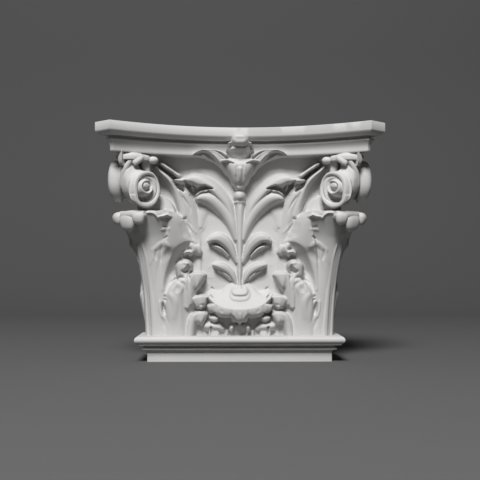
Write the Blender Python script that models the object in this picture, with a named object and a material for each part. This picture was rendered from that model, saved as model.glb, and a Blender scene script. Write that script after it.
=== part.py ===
"""Corinthian pilaster capital, moulded in one piece with a flat back.

Metres, +Z up. The capital stands on its neck at z = 0 and faces -Y. Its flat back is the wall
plane, half the overall projection behind the origin. In plan a point is given by x, from the
centre line, and by its projection, out from the wall.

The carving is drawn in millimetres on the face of a bell of the drawn size, x from the centre
line and z up from the bell's foot, and stretched to the real bell. Each stroke is a row of
(x, z, half width, height) along its middle line.
"""

import math

import bmesh
import bpy
import numpy as np

# Neck and astragal, from the foot up
NECK_WIDTH = 0.2264
NECK_PROJECTION = 0.060
NECK_FACE_HEIGHT = 0.0105
NECK_COVE_HEIGHT = 0.0045
NECK_FILLET_HEIGHT = 0.0015
NECK_FILLET_STEP = 0.0023
UNDERCUT_HEIGHT = 0.0035
ASTRAGAL_FILLET_HEIGHT = 0.0020
ASTRAGAL_FILLET_STEP = 0.0118
ASTRAGAL_HEIGHT = 0.0095
ASTRAGAL_STEP = 0.0147

# Bell, the body that the leaves grow on
BELL_HEIGHT = 0.2205
BELL_FOOT_INSET = 0.0060
BELL_FLARE_SIDE = 0.0170
BELL_FLARE_FRONT = 0.0030
BELL_CORNER_RADIUS = 0.012
OVERLAP = 0.003

# Abacus: hollow sides, cut horns
ABACUS_WIDTH = 0.340
HORN_PROJECTION = 0.130
HORN_CUT_ALONG = 0.0190
HORN_CUT_BACK = 0.0165
FRONT_HOLLOW = 0.050
SIDE_HOLLOW = 0.026
FASCIA_HEIGHT = 0.0120
FASCIA_UNDERSIDE = 0.0082
QUIRK_HEIGHT = 0.0030
QUIRK_STEP = 0.0052
ABACUS_FILLET_HEIGHT = 0.0013
COVE_HEIGHT = 0.0137
COVE_DEPTH = 0.0035
BAND_EDGE_HEIGHT = 0.0030

# Corner volutes: a pair at each corner, mirrored where x is this much more than the projection
VOLUTE_DROP = 0.0450
VOLUTE_INSET = 0.0610
VOLUTE_RADIUS = 0.0205
VOLUTE_THICKNESS = 0.0150
VOLUTE_TURN = math.radians(30)
VOLUTE_SET_BACK = 0.003
VOLUTE_DIAGONAL = 0.047
VOLUTE_RIM_RADIUS = 0.0036
VOLUTE_STEPS = 4
HORN_BLOCK_HEIGHT = 0.020
HORN_BLOCK_INSET = 0.0160
HORN_BLOCK_DEPTH = 0.024

# Curled tip of each corner leaf, in the upright plane through the corner
CURL_TOP = 0.1520
CURL_REACH = 0.0360
CURL_DROP = 0.0260
CURL_HALF_WIDTH = 0.0300
CURL_THICKNESS = 0.0090

# Flower on the middle of the abacus; its foot and top are shares of the bell's height
FLOWER_HALF_WIDTH = 0.060
FLOWER_FOOT = 0.76
FLOWER_TOP = 1.09
FLOWER_SEAT = 0.006
FLOWER_SPANS = 44
FLOWER_LEVELS = 28

# The drawn bell, in millimetres
DRAWN_HALF_WIDTH = 113.2
DRAWN_HEIGHT = 220.5

# Spacing of the carving before it is thinned to flat facets
CARVING_PITCH = 0.0022
CARVING_KEPT = 0.12
CARVING_EASING = 2
FLOWER_KEPT = 0.25

WHITE = (0.80, 0.80, 0.79, 1.0)

BELL_BASE = (
    NECK_FACE_HEIGHT
    + NECK_COVE_HEIGHT
    + NECK_FILLET_HEIGHT
    + UNDERCUT_HEIGHT
    + ASTRAGAL_FILLET_HEIGHT
    + ASTRAGAL_HEIGHT
)
BELL_TOP = BELL_BASE + BELL_HEIGHT
ABACUS_HEIGHT = (
    BAND_EDGE_HEIGHT + COVE_HEIGHT + ABACUS_FILLET_HEIGHT + QUIRK_HEIGHT + FASCIA_HEIGHT
)
CAPITAL_HEIGHT = BELL_TOP + ABACUS_HEIGHT
WALL_Y = HORN_PROJECTION / 2

CORNER_LEAF = [
    [(104, -3, 17, 9), (104, 60, 18, 12), (106, 110, 20, 17), (108, 135, 21, 25)],
    [(84, -3, 22, 7), (86, 50, 20, 9), (92, 100, 18, 14), (96, 138, 14, 26)],
    [(70, -3, 14, 8), (64, 30, 13, 13), (57, 58, 11, 18), (52, 68, 8, 20)],
    [(88, 50, 8, 10), (81, 88, 10, 16), (70, 108, 9, 22), (61, 111, 6, 24)],
    [(94, 96, 10, 16), (88, 124, 13, 22), (80, 138, 9, 22), (72, 140, 6, 19)],
    [(85, 60, 6, 12), (75, 82, 8, 17), (65, 85, 6, 19)],
    [(96, 84, 6, 13), (92, 104, 7, 19), (86, 108, 5, 19)],
    [(68, 38, 7, 13), (73, 56, 7, 17), (76, 64, 5, 18)],
    [(82, 17, 7, 10), (87, 38, 7, 15), (88, 48, 5, 16)],
    [(60, 18, 6, 11), (50, 40, 8, 16), (43, 44, 5, 17)],
    [(66, 0, 7, 8), (53, 20, 8, 14), (44, 22, 5, 14)],
]
STALK = [
    [(44, 20, 7, 3), (43, 80, 9, 4), (50, 118, 12, 7), (64, 142, 10, 10)],
    [(62, 120, 12, 8), (76, 150, 12, 12), (92, 168, 14, 15), (104, 196, 16, 22)],
    [(67, 150, 4, 8), (77, 178, 4.5, 13), (85, 192, 5, 18), (101, 207, 5, 27)],
    [(72, 196, 3, 12), (84, 205, 3.5, 18), (97, 210, 3, 26)],
    [(101, 214, 4.5, 32), (110, 214, 4.5, 34)],
]
CENTRE_STEM = [
    [(0, 163, 5.6, 9), (0, 112, 4, 8), (0, 60, 2.8, 7)],
    [(0, 171, 7, 16), (0, 174, 7, 16)],
    [(2, 118, 2, 5), (10, 145, 9, 10), (24, 172, 18, 16), (42, 189, 13, 19), (62, 193, 9, 19),
     (80, 192, 4, 12)],
    [(18, 160, 9, 13), (36, 172, 9, 20), (50, 170, 6, 20)],
    [(2, 88, 2, 5), (10, 110, 7, 10), (23, 122, 9, 14), (37, 116, 3, 13)],
    [(2, 64, 2, 5), (9, 80, 6, 9), (20, 91, 7.5, 12), (31, 85, 2.5, 11)],
]
FOOT_CUP = [
    [(0, 59, 11, 13), (0, 48, 11, 15)],
    [(0, 48, 32, 14), (0, 34, 27, 19)],
    [(0, 46, 9, 17), (0, 26, 9, 27), (0, 20, 6, 26)],
    [(13, 46, 7, 16), (16.5, 33, 7.5, 25), (17.5, 27, 5, 24)],
    [(24, 46, 7, 15), (30, 38, 7, 21), (33, 33, 5, 20)],
    [(26, 30, 5, 13), (32, 22, 5, 16)],
    [(10, 12, 3, 9), (10, 4, 3, 7)],
]
FLOWER_STROKES = [
    [(0, 230, 8.5, 30), (0, 225, 8.5, 31)],
    [(0, 222, 13, 19), (0, 205, 15, 22), (0, 190, 11, 18), (0, 178, 5, 11)],
    [(10, 226, 5, 21), (13, 219, 4, 20)],
    [(6, 206, 8, 23), (18, 208, 5.5, 25), (21, 206, 3.5, 23)],
    [(6, 198, 8, 17), (22, 213, 9, 20), (38, 219, 6, 21), (55, 214, 2.5, 17)],
]
HOLLOWS = [
    [(54, 181, 5, 8), (66, 187, 4, 9)],
    [(71, 180, 4, 7), (78, 187, 3, 6)],
]


def plan_point(x, projection, z):
    return (x, WALL_Y - projection, z)


def clear_scene():
    for obj in list(bpy.data.objects):
        bpy.data.objects.remove(obj, do_unlink=True)


def new_collection(name):
    collection = bpy.data.collections.new(name)
    bpy.context.scene.collection.children.link(collection)
    return collection


def white_material():
    material = bpy.data.materials.new("primed_polyurethane")
    material.use_nodes = True
    shader = material.node_tree.nodes["Principled BSDF"]
    shader.inputs["Base Color"].default_value = WHITE
    shader.inputs["Roughness"].default_value = 0.75
    shader.inputs["Metallic"].default_value = 0.0
    return material


def mesh_object(name, points, faces, collection):
    """An object from points and faces, its normals turned outwards."""
    mesh = bpy.data.meshes.new(name)
    mesh.from_pydata([tuple(p) for p in points], [], faces)
    build = bmesh.new()
    build.from_mesh(mesh)
    bmesh.ops.recalc_face_normals(build, faces=build.faces)
    build.to_mesh(mesh)
    build.free()
    obj = bpy.data.objects.new(name, mesh)
    collection.objects.link(obj)
    return obj


def stack(name, rings, collection):
    """A closed solid through rings of the same number of points, capped at both ends."""
    count = len(rings[0])
    points = [point for ring in rings for point in ring]
    faces = [tuple(range(count)), tuple(range(len(points) - count, len(points)))]
    for row in range(len(rings) - 1):
        for i in range(count):
            low, high = row * count, (row + 1) * count
            j = (i + 1) % count
            faces.append((low + i, low + j, high + j, high + i))
    return mesh_object(name, points, faces, collection)


# Neck and astragal


def quarter_cove(start, end, steps):
    """Points of a hollow quarter round from start to end, upright at its start."""
    points = []
    for i in range(steps + 1):
        angle = math.pi / 2 * i / steps
        points.append((
            start[0] + (end[0] - start[0]) * (1 - math.cos(angle)),
            start[1] + (end[1] - start[1]) * math.sin(angle),
        ))
    return points


def half_round(low, high, out, steps):
    """Points of a half round between two heights, standing out from the given offset."""
    middle, radius = (low + high) / 2, (high - low) / 2
    return [
        (out + radius * (math.cos(a) - 1), middle + radius * math.sin(a))
        for a in (-math.pi / 2 + math.pi * i / steps for i in range(steps + 1))
    ]


def neck_profile():
    """Rows of (step out from the neck's face, height), from the foot up."""
    cove_top = NECK_FACE_HEIGHT + NECK_COVE_HEIGHT
    fillet_top = cove_top + NECK_FILLET_HEIGHT
    undercut_top = fillet_top + UNDERCUT_HEIGHT
    astragal_foot = undercut_top + ASTRAGAL_FILLET_HEIGHT
    profile = [(0.0, 0.0)]
    profile += quarter_cove((0.0, NECK_FACE_HEIGHT), (NECK_FILLET_STEP, cove_top), 4)
    profile.append((NECK_FILLET_STEP, fillet_top))
    profile.append((NECK_FILLET_STEP * 0.6, fillet_top + UNDERCUT_HEIGHT * 0.1))
    profile.append((NECK_FILLET_STEP * 0.6, undercut_top))
    profile.append((ASTRAGAL_FILLET_STEP, undercut_top))
    profile.append((ASTRAGAL_FILLET_STEP, astragal_foot))
    profile += half_round(astragal_foot, BELL_BASE, ASTRAGAL_STEP, 6)[1:]
    profile.append((0.0, BELL_BASE))
    return profile


def neck(collection):
    half = NECK_WIDTH / 2
    rings = []
    for step, z in neck_profile():
        x, out = half + step, NECK_PROJECTION + step
        ring = [(-x, 0.0), (-x, out), (x, out), (x, 0.0)]
        rings.append([plan_point(a, b, z) for a, b in ring])
    return stack("neck", rings, collection)


# Abacus


def front_hollow(x):
    """Projection of the fascia's hollow front at x."""
    corner = ABACUS_WIDTH / 2 - HORN_CUT_ALONG
    return HORN_PROJECTION - FRONT_HOLLOW * (1 - (x / corner) ** 2)


def side_hollow(projection):
    """Half width of the fascia's hollow side at a projection from the wall."""
    end = HORN_PROJECTION - HORN_CUT_BACK
    return ABACUS_WIDTH / 2 - SIDE_HOLLOW * (1 - (projection / end) ** 2)


def crossing(point_a, direction_a, point_b, direction_b):
    """Where two lines in plan cross."""
    matrix = np.array([direction_a, (-direction_b[0], -direction_b[1])]).T
    steps = np.linalg.solve(matrix, np.subtract(point_b, point_a))
    return np.add(point_a, np.multiply(direction_a, steps[0]))


def abacus_ring(inset, spans=12, side_spans=4):
    """The abacus outline in plan, moved in by inset, from the wall round to the wall."""
    front_corner = np.array((ABACUS_WIDTH / 2 - HORN_CUT_ALONG, HORN_PROJECTION))
    outer_corner = np.array((ABACUS_WIDTH / 2, HORN_PROJECTION - HORN_CUT_BACK))
    cut = (outer_corner - front_corner) / np.linalg.norm(outer_corner - front_corner)
    cut_inward = np.array((cut[1], -cut[0]))
    front_slope = 2 * FRONT_HOLLOW / front_corner[0]
    side_slope = 2 * SIDE_HOLLOW / outer_corner[1]
    front_way = np.array((1.0, front_slope)) / math.hypot(1.0, front_slope)
    side_way = np.array((side_slope, 1.0)) / math.hypot(side_slope, 1.0)
    front_inward = np.array((front_way[1], -front_way[0]))
    side_inward = np.array((-side_way[1], side_way[0]))
    cut_base = front_corner + cut_inward * inset
    corner_f = crossing(front_corner + front_inward * inset, front_way, cut_base, cut)
    corner_s = crossing(outer_corner + side_inward * inset, side_way, cut_base, cut)
    half = []
    for i in range(spans):
        x = corner_f[0] * i / spans
        rise = (corner_f[1] - (front_hollow(0) - inset)) * (i / spans) ** 2
        half.append((x, front_hollow(0) - inset + rise))
    half.append(tuple(corner_f))
    at_wall = side_hollow(0) - inset
    for i in range(side_spans, -1, -1):
        share = i / side_spans
        half.append((at_wall + (corner_s[0] - at_wall) * share**2, corner_s[1] * share))
    return [(-x, p) for x, p in reversed(half[1:])] + half


def abacus_profile():
    """Rows of (inset from the fascia, height), from the bell's top up."""
    edge_inset = FASCIA_UNDERSIDE + QUIRK_STEP - 0.001
    edge_top = BELL_TOP + BAND_EDGE_HEIGHT
    cove_top = edge_top + COVE_HEIGHT
    fillet_top = cove_top + ABACUS_FILLET_HEIGHT
    quirk_top = fillet_top + QUIRK_HEIGHT
    fillet_inset = FASCIA_UNDERSIDE + QUIRK_STEP
    rows = [(edge_inset, BELL_TOP), (edge_inset, edge_top)]
    for share, depth in ((0.25, 0.75), (0.5, 1.0), (0.8, 0.95)):
        rows.append((edge_inset + COVE_DEPTH * depth, edge_top + COVE_HEIGHT * share))
    rows += [
        (fillet_inset + COVE_DEPTH * 0.3, cove_top),
        (fillet_inset, cove_top + ABACUS_FILLET_HEIGHT * 0.1),
        (fillet_inset, fillet_top),
        (FASCIA_UNDERSIDE, fillet_top + QUIRK_HEIGHT * 0.1),
        (FASCIA_UNDERSIDE, quirk_top),
        (0.0, quirk_top + FASCIA_HEIGHT * 0.05),
        (0.0, CAPITAL_HEIGHT),
    ]
    return rows


def abacus(collection):
    rings = []
    for inset, z in abacus_profile():
        rings.append([plan_point(x, p, z) for x, p in abacus_ring(inset)])
    return stack("abacus", rings, collection)


# Carving


def smooth_line(rows, per_span=5):
    """A Catmull-Rom curve through rows of numbers."""
    rows = np.array(rows, float)
    ends = np.vstack([2 * rows[0] - rows[1], rows, 2 * rows[-1] - rows[-2]])
    line = []
    for i in range(len(rows) - 1):
        a, b, c, d = ends[i : i + 4]
        for t in np.arange(per_span) / per_span:
            line.append(0.5 * (
                2 * b + (c - a) * t + (2 * a - 5 * b + 4 * c - d) * t**2
                + (3 * b - a - 3 * c + d) * t**3
            ))
    line.append(rows[-1])
    return np.array(line)


def stroke(x, z, rows):
    """Height of one rounded stroke at drawn points, 0 where it doesn't reach."""
    line = smooth_line(rows)
    best = np.full(x.shape, 9.0)
    height = np.zeros(x.shape)
    for a, b in zip(line[:-1], line[1:]):
        way = b[:2] - a[:2]
        t = ((x - a[0]) * way[0] + (z - a[1]) * way[1]) / max(way @ way, 1e-9)
        t = np.clip(t, 0.0, 1.0)
        width = np.maximum(a[2] + (b[2] - a[2]) * t, 0.5)
        reach = np.hypot(x - a[0] - way[0] * t, z - a[1] - way[1] * t) / width
        nearer = reach < best
        best = np.where(nearer, reach, best)
        height = np.where(nearer, a[3] + (b[3] - a[3]) * t, height)
    return height * np.clip(1 - best**2, 0.0, 1.0) ** 0.6


def carving(x, z):
    """Height of the bell's carving, in drawn millimetres, at drawn points."""
    height = np.zeros(x.shape)
    for rows in CORNER_LEAF + STALK + CENTRE_STEM + FOOT_CUP:
        height = np.maximum(height, stroke(x, z, rows))
    for rows in HOLLOWS:
        height = height - stroke(x, z, rows)
    return np.maximum(height, 0.0)


def bell_half_width(share):
    return NECK_WIDTH / 2 - BELL_FOOT_INSET + BELL_FLARE_SIDE * share**2


def bell_projection(share):
    return NECK_PROJECTION - BELL_FOOT_INSET * 1.5 + BELL_FLARE_FRONT * share**2


def bell_plan(along, half, out):
    """Plan point and outward direction at a distance along the rounded plan from its centre."""
    radius = BELL_CORNER_RADIUS
    front_end = half - radius
    arc = radius * math.pi / 2
    if along <= front_end:
        return (along, out), (0.0, 1.0)
    if along <= front_end + arc:
        angle = (along - front_end) / radius
        way = (math.sin(angle), math.cos(angle))
        return (front_end + radius * way[0], out - radius + radius * way[1]), way
    return (half, out - radius - (along - front_end - arc)), (1.0, 0.0)


def softened(height, passes):
    """A grid of heights with its steps eased: each pass averages neighbours along both ways."""
    for _ in range(passes):
        for axis in (0, 1):
            edges = [(1, 1) if i == axis else (0, 0) for i in (0, 1)]
            padded = np.moveaxis(np.pad(height, edges, mode="edge"), axis, 0)
            eased = (padded[:-2] + 2 * padded[1:-1] + padded[2:]) / 4
            height = np.moveaxis(eased, 0, axis)
    return height


def bell(collection):
    """The carved bell: at each level, points from the wall round the front to the wall."""
    columns = round((NECK_WIDTH / 2 + NECK_PROJECTION) / CARVING_PITCH)
    levels = round(BELL_HEIGHT / CARVING_PITCH)
    drawn = DRAWN_HALF_WIDTH / (NECK_WIDTH / 2)
    zs = np.linspace(BELL_BASE - OVERLAP, BELL_TOP + OVERLAP, levels + 1)
    shares = (zs - BELL_BASE) / BELL_HEIGHT
    plans, along = [], []
    for share in np.clip(shares, 0.0, 1.0):
        half, out = bell_half_width(share), bell_projection(share)
        length = half + out + BELL_CORNER_RADIUS * (math.pi / 2 - 2) + OVERLAP * 2
        plans.append((half, out))
        along.append(np.linspace(0.0, length, columns + 1))
    along = np.array(along)
    corner = np.array([[half + BELL_CORNER_RADIUS * (math.pi / 4 - 1)] for half, _ in plans])
    from_centre = np.where(along <= corner, along, 2 * corner - along)
    height = carving(from_centre * drawn, np.repeat(shares[:, None], columns + 1, 1) * DRAWN_HEIGHT)
    height = softened(height, CARVING_EASING) * BELL_HEIGHT / DRAWN_HEIGHT
    rings = []
    for z, (half, out), distances, raised in zip(zs, plans, along, height):
        half_row = []
        for distance, rise in zip(distances, raised):
            (x, p), way = bell_plan(distance, half, out)
            half_row.append((x + way[0] * rise, p + way[1] * rise))
        row = [(-x, p) for x, p in reversed(half_row[1:])] + half_row
        rings.append([plan_point(x, p, z) for x, p in row])
    obj = stack("bell", rings, collection)
    thin = obj.modifiers.new("thin", "DECIMATE")
    thin.ratio = CARVING_KEPT
    return obj


def flower(collection):
    """The flower as a relief over the middle of the abacus and the top of the bell."""
    drawn = DRAWN_HALF_WIDTH / (NECK_WIDTH / 2)
    xs = np.linspace(-FLOWER_HALF_WIDTH, FLOWER_HALF_WIDTH, FLOWER_SPANS + 1)
    shares = np.linspace(FLOWER_FOOT, FLOWER_TOP, FLOWER_LEVELS + 1)
    drawn_x, drawn_z = np.meshgrid(np.abs(xs) * drawn, shares * DRAWN_HEIGHT)
    height = np.zeros(drawn_x.shape)
    for rows in FLOWER_STROKES:
        height = np.maximum(height, stroke(drawn_x, drawn_z, rows))
    base = bell_projection(1.0) - OVERLAP * 2
    seat = front_hollow(0) - FASCIA_UNDERSIDE - QUIRK_STEP - FLOWER_SEAT
    out = softened(np.where(height > 0.5, seat + height / drawn, base), 1)
    rings = []
    for share, row in zip(shares, out):
        z = BELL_BASE + share * BELL_HEIGHT
        ring = [plan_point(x, p, z) for x, p in zip(xs, row)]
        ring.append(plan_point(FLOWER_HALF_WIDTH, base - OVERLAP, z))
        ring.append(plan_point(-FLOWER_HALF_WIDTH, base - OVERLAP, z))
        rings.append(ring)
    obj = stack("flower", rings, collection)
    thin = obj.modifiers.new("thin", "DECIMATE")
    thin.ratio = FLOWER_KEPT
    return obj


# Corner volutes and leaf tips

# Quarter turns of the volute's rim, outwards first, as shares of its radius
VOLUTE_RIM = (1.70, 1.12, 0.95, 0.92, 0.86, 0.60, 0.46, 0.42, 0.30, 0.12)


def volute_reach(quarter):
    """Distance of the rim's middle line from the eye after some quarter turns."""
    low = min(int(quarter), len(VOLUTE_RIM) - 2)
    share = VOLUTE_RIM[low] + (VOLUTE_RIM[low + 1] - VOLUTE_RIM[low]) * (quarter - low)
    return share * VOLUTE_RADIUS


def volute_rim(collection):
    """The spiral rim as a tube that thins towards the eye."""
    curve = bpy.data.curves.new("volute_rim", "CURVE")
    curve.dimensions = "3D"
    curve.bevel_depth = VOLUTE_RIM_RADIUS
    curve.bevel_resolution = 1
    curve.use_fill_caps = True
    steps = (len(VOLUTE_RIM) - 1) * VOLUTE_STEPS
    spline = curve.splines.new("POLY")
    spline.points.add(steps)
    for i, point in enumerate(spline.points):
        quarter = i / VOLUTE_STEPS
        angle = -math.pi / 2 * quarter
        reach = volute_reach(quarter)
        point.co = (reach * math.cos(angle), 0.0, reach * math.sin(angle), 1.0)
        point.radius = 1.0 - 0.35 * i / steps
    return solid_from_curve(curve, collection)


def solid_from_curve(curve, collection):
    """The curve's evaluated shape as a closed mesh."""
    carrier = bpy.data.objects.new(curve.name, curve)
    collection.objects.link(carrier)
    graph = bpy.context.evaluated_depsgraph_get()
    mesh = bpy.data.meshes.new_from_object(carrier.evaluated_get(graph))
    build = bmesh.new()
    build.from_mesh(mesh)
    bmesh.ops.remove_doubles(build, verts=build.verts, dist=1e-6)
    bmesh.ops.recalc_face_normals(build, faces=build.faces)
    points = [vert.co.copy() for vert in build.verts]
    faces = [[vert.index for vert in face.verts] for face in build.faces]
    build.free()
    bpy.data.objects.remove(carrier, do_unlink=True)
    return points, faces


def volute_disc():
    """The body behind the rim: its outline follows the rim's outer turn."""
    spokes = 24
    outline = []
    for i in range(spokes):
        quarter = 4 * i / spokes
        angle = -math.pi / 2 * quarter
        reach = volute_reach(quarter)
        if quarter > 3:
            reach += (volute_reach(0) - reach) * (quarter - 3)
        outline.append((reach * math.cos(angle), reach * math.sin(angle)))
    points = [(a, 0.0, u) for a, u in outline]
    points += [(a, VOLUTE_THICKNESS, u) for a, u in outline]
    faces = [tuple(range(spokes)), tuple(range(spokes, 2 * spokes))]
    faces += [
        (i, (i + 1) % spokes, spokes + (i + 1) % spokes, spokes + i) for i in range(spokes)
    ]
    return points, faces


def place_volute(points, on_side):
    """Points of the volute's own frame (across, behind, up) set at the corner, on the +X side."""
    centre_x = ABACUS_WIDTH / 2 - VOLUTE_INSET
    face_out = front_hollow(centre_x) - FASCIA_UNDERSIDE - QUIRK_STEP - VOLUTE_SET_BACK
    cos, sin = math.cos(VOLUTE_TURN), math.sin(VOLUTE_TURN)
    placed = []
    for across, behind, up in points:
        x = centre_x + across * cos + behind * sin
        p = face_out + across * sin - behind * cos
        if on_side:
            x, p = mirror_at_corner(x, p)
        placed.append((x, p, BELL_TOP - VOLUTE_DROP + up))
    return placed


def volute_eye(spokes=8):
    """A low dome at the volute's centre."""
    radius = VOLUTE_RADIUS * 0.24
    points = []
    for height, size in ((-0.5, 1.0), (0.4, 1.0), (0.9, 0.6)):
        for i in range(spokes):
            angle = 2 * math.pi * i / spokes
            points.append((
                radius * size * math.cos(angle),
                -radius * height,
                radius * size * math.sin(angle),
            ))
    faces = [tuple(range(spokes)), tuple(range(2 * spokes, 3 * spokes))]
    for row in (0, spokes):
        faces += [
            (row + i, row + (i + 1) % spokes, row + spokes + (i + 1) % spokes, row + spokes + i)
            for i in range(spokes)
        ]
    return points, faces


def mirror_at_corner(x, projection):
    """The plan point mirrored in the upright plane through the volutes, at 45 degrees."""
    return projection + VOLUTE_DIAGONAL, x - VOLUTE_DIAGONAL


def curl_outline(share):
    """The curled leaf tip in the corner plane: (out, up) round it, for a share of its width."""
    fade = math.sqrt(1 - 0.75 * share**2)
    lobe = 0.86 + 0.14 * abs(math.cos(share * math.pi * 2.5))
    reach = CURL_REACH * (0.30 + 0.70 * fade) * lobe
    drop = CURL_DROP * fade * lobe
    thick = CURL_THICKNESS * (0.6 + 0.4 * fade)
    top = -CURL_DROP * 0.2 * share**2
    return [
        (-thick * 1.5, top - drop * 1.9),
        (reach - thick * 1.7, top - drop * 1.1),
        (reach - thick * 1.3, top - drop * 0.5),
        (reach - thick, top - drop * 0.9),
        (reach - thick * 0.35, top - drop),
        (reach, top - drop * 0.75),
        (reach - thick * 0.1, top - drop * 0.35),
        (reach - thick * 0.5, top - drop * 0.08),
        (reach - thick * 1.3, top),
        (reach - thick * 2.3, top - drop * 0.12),
        (-thick * 1.5, top - drop * 0.4),
    ]


def curl(spans=20):
    """Points and faces of the curled tip of one corner leaf, on the +X side."""
    rings = []
    for i in range(spans + 1):
        share = 2 * i / spans - 1
        across = share * CURL_HALF_WIDTH
        ring = []
        for out, up in curl_outline(share):
            x = NECK_WIDTH / 2 + (out + across) * math.sqrt(0.5)
            p = NECK_PROJECTION + (out - across) * math.sqrt(0.5)
            ring.append((x, p, BELL_BASE + CURL_TOP + up))
        rings.append(ring)
    return rings


def horn_block_ring(inset):
    """Plan of the block between horn and volutes, on the +X side."""
    ring = abacus_ring(inset)
    front, outer = ring[-6], ring[-5]
    depth = HORN_BLOCK_DEPTH
    return [
        (front[0] - depth, front[1] - depth * 1.2),
        (front[0] - depth * 0.3, front[1] - depth * 0.3),
        ((front[0] + outer[0]) / 2, (front[1] + outer[1]) / 2),
        outer,
        (outer[0] - depth * 0.4, outer[1] - depth * 1.5),
    ]


def corner_core_ring():
    """Plan of the body behind a pair of volutes, on the +X side."""
    behind = VOLUTE_THICKNESS * 0.6
    ends = [(-VOLUTE_RADIUS, behind, 0.0), (VOLUTE_RADIUS * 1.3, behind, 0.0)]
    front = [(x, p) for x, p, _ in place_volute(ends, False)]
    side = [(x, p) for x, p, _ in place_volute(ends, True)]
    inner = (NECK_WIDTH / 2 - BELL_CORNER_RADIUS * 2, NECK_PROJECTION - BELL_CORNER_RADIUS * 2)
    return [inner, front[0], front[1], side[1], side[0]]


def prism(ring, low, high):
    """Points and faces of an upright prism on a ring of plan points."""
    count = len(ring)
    points = [(x, p, z) for z in (low, high) for x, p in ring]
    faces = [tuple(range(count)), tuple(range(count, 2 * count))]
    faces += [(i, (i + 1) % count, count + (i + 1) % count, count + i) for i in range(count)]
    return points, faces


def paired(name, points, faces, collection):
    """The same shape on both sides, as two objects."""
    for side, sign in (("left", -1), ("right", 1)):
        placed = [plan_point(sign * x, p, z) for x, p, z in points]
        mesh_object(f"{name}_{side}", placed, faces, collection)


def corner_pieces(collection):
    shapes = {
        "volute_rim": volute_rim(collection),
        "volute_disc": volute_disc(),
        "volute_eye": volute_eye(),
    }
    for name, (points, faces) in shapes.items():
        for on_side in (False, True):
            paired(f"{name}_{on_side:d}", place_volute(points, on_side), faces, collection)
    rings = curl()
    count = len(rings[0])
    points = [point for ring in rings for point in ring]
    faces = [tuple(range(count)), tuple(range(len(points) - count, len(points)))]
    for row in range(len(rings) - 1):
        for i in range(count):
            low, high, j = row * count, (row + 1) * count, (i + 1) % count
            faces.append((low + i, low + j, high + j, high + i))
    paired("leaf_tip", points, faces, collection)
    seat = BELL_TOP + BAND_EDGE_HEIGHT / 2
    paired("horn_block", *prism(horn_block_ring(HORN_BLOCK_INSET), BELL_TOP - HORN_BLOCK_HEIGHT, seat),
           collection)
    core_foot = BELL_BASE + CURL_TOP - CURL_DROP * 0.6
    paired("corner_core", *prism(corner_core_ring(), core_foot, seat), collection)


def wall(collection):
    """The room behind the wall plane, which the flat back is cut along."""
    bpy.ops.mesh.primitive_cube_add(size=1.0)
    block = bpy.context.object
    block.name = "wall"
    thickness = OVERLAP * 4
    block.scale = (ABACUS_WIDTH * 1.5, thickness, CAPITAL_HEIGHT * 1.5)
    block.location = (0.0, WALL_Y + thickness / 2, CAPITAL_HEIGHT / 2)
    for holder in list(block.users_collection):
        holder.objects.unlink(block)
    collection.objects.link(block)
    return block


def add_boolean(obj, name, operation):
    modifier = obj.modifiers.new(name, "BOOLEAN")
    modifier.operation = operation
    modifier.solver = "EXACT"
    return modifier


def main():
    clear_scene()
    capital = new_collection("pilaster_capital")
    forms = new_collection("forms")
    cutters = new_collection("cutters")
    body = bell(capital)
    body.name = "pilaster_capital"
    body.data.materials.append(white_material())
    add_boolean(body, "flat_back", "DIFFERENCE").object = wall(cutters)
    neck(forms)
    abacus(forms)
    flower(forms)
    corner_pieces(forms)
    union = add_boolean(body, "union", "UNION")
    union.operand_type = "COLLECTION"
    union.collection = forms
    for helper in list(forms.objects) + list(cutters.objects):
        helper.hide_render = True
        helper.display_type = "WIRE"
    for collection in (forms, cutters):
        collection.hide_render = True


main()
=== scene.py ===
import math

import bpy
import numpy as np
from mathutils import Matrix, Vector


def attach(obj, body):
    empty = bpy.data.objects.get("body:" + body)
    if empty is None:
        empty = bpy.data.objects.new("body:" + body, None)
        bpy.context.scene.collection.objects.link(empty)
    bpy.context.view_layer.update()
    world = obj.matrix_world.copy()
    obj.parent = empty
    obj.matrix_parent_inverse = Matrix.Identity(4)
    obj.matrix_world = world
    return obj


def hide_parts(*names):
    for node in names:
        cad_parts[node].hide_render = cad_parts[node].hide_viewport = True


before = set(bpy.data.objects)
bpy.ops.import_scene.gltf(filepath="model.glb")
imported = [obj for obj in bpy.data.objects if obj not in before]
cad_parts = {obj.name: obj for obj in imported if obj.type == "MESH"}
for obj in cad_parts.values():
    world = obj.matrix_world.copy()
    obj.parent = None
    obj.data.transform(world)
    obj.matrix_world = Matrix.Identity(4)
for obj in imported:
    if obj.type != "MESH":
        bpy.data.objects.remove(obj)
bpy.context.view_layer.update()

# Millimetres throughout the making: x from the centre line, out from the wall, z from the foot
mm = 0.001
wallY = 65.0
behindWall = 4.0  # how far pieces run on behind the wall plane, until the back is cut flat
diagonal = 53.0  # the corner's mirror plane: x is this much more than out


def inRow(x, out, z):
    return (x * mm, (wallY - out) * mm, z * mm)


def pick(*objs):
    bpy.ops.object.select_all(action="DESELECT")
    for obj in objs:
        obj.select_set(True)
    bpy.context.view_layer.objects.active = objs[0]


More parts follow.
